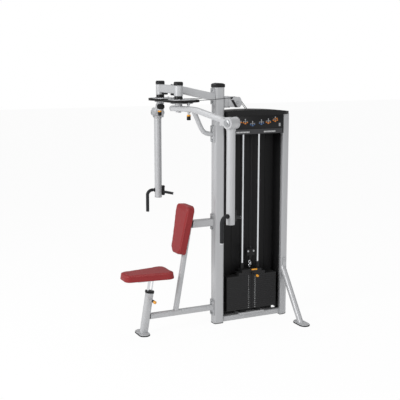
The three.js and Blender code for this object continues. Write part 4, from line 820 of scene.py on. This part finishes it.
# ---------------------------------------------------------------- floor, light and camera
def build_stage():
    bm = bmesh.new()
    bmesh.ops.create_grid(bm, x_segments=1, y_segments=1, size=30)
    mesh = bpy.data.meshes.new("floor")
    bm.to_mesh(mesh)
    bm.free()
    floor = bpy.data.objects.new("floor", mesh)
    floor.location.z = -0.0005
    bpy.context.scene.collection.objects.link(floor)
    material = bpy.data.materials.new("pale_floor")
    material.use_nodes = True
    nodes, links = material.node_tree.nodes, material.node_tree.links
    nodes.clear()
    out = nodes.new("ShaderNodeOutputMaterial")
    matt = nodes.new("ShaderNodeBsdfDiffuse")
    matt.inputs["Color"].default_value = (0.9, 0.9, 0.9, 1)
    glow = nodes.new("ShaderNodeEmission")
    glow.inputs["Strength"].default_value = 1.0
    path = nodes.new("ShaderNodeLightPath")
    seen = nodes.new("ShaderNodeMath")
    seen.operation = "MAXIMUM"
    links.new(path.outputs["Is Camera Ray"], seen.inputs[0])
    links.new(path.outputs["Is Glossy Ray"], seen.inputs[1])
    share = nodes.new("ShaderNodeMath")
    share.operation = "MULTIPLY"
    share.inputs[1].default_value = 0.95
    links.new(seen.outputs[0], share.inputs[0])
    mix = nodes.new("ShaderNodeMixShader")
    links.new(share.outputs[0], mix.inputs["Fac"])
    links.new(matt.outputs[0], mix.inputs[1])
    links.new(glow.outputs[0], mix.inputs[2])
    links.new(mix.outputs[0], out.inputs["Surface"])
    mesh.materials.append(material)

    world = bpy.data.worlds.new("studio")
    bpy.context.scene.world = world
    world.use_nodes = True
    nodes, links = world.node_tree.nodes, world.node_tree.links
    sky = nodes["Background"]
    sky.inputs["Color"].default_value = (1, 1, 1, 1)
    path = nodes.new("ShaderNodeLightPath")
    bright = nodes.new("ShaderNodeMapRange")
    bright.inputs["To Min"].default_value = 0.42
    bright.inputs["To Max"].default_value = 1.0
    seen = nodes.new("ShaderNodeMath")
    seen.operation = "MAXIMUM"
    links.new(path.outputs["Is Camera Ray"], seen.inputs[0])
    links.new(path.outputs["Is Transmission Ray"], seen.inputs[1])
    links.new(seen.outputs[0], bright.inputs["Value"])
    links.new(bright.outputs["Result"], sky.inputs["Strength"])

    def lamp(label, place, size, power):
        light = bpy.data.lights.new(label, "AREA")
        light.shape = "RECTANGLE"
        light.size = size
        light.size_y = size
        light.energy = power
        obj = bpy.data.objects.new(label, light)
        obj.location = place
        obj.rotation_euler = (Vector((0, -0.1, 1.0)) - Vector(place)).to_track_quat("-Z", "Y").to_euler()
        bpy.context.scene.collection.objects.link(obj)

    lamp("front_key", (1.2, -5.4, 3.4), 2.2, 215)
    lamp("side_fill", (5.4, 0.6, 3.0), 2.4, 58)
    lamp("top_soft", (-0.5, 0.5, 5.5), 3.0, 70)

    camera = bpy.data.objects.new("camera", bpy.data.cameras.new("camera"))
    camera.data.lens = 74.28
    camera.data.sensor_width = 36
    camera.data.clip_end = 100
    camera.location = (5.9396, -3.0310, 2.1875)
    camera.rotation_euler = (math.radians(80.265), 0, math.radians(64.205))
    bpy.context.scene.collection.objects.link(camera)
    bpy.context.scene.camera = camera
    bpy.context.scene.view_settings.view_transform = "Standard"


build_stage()
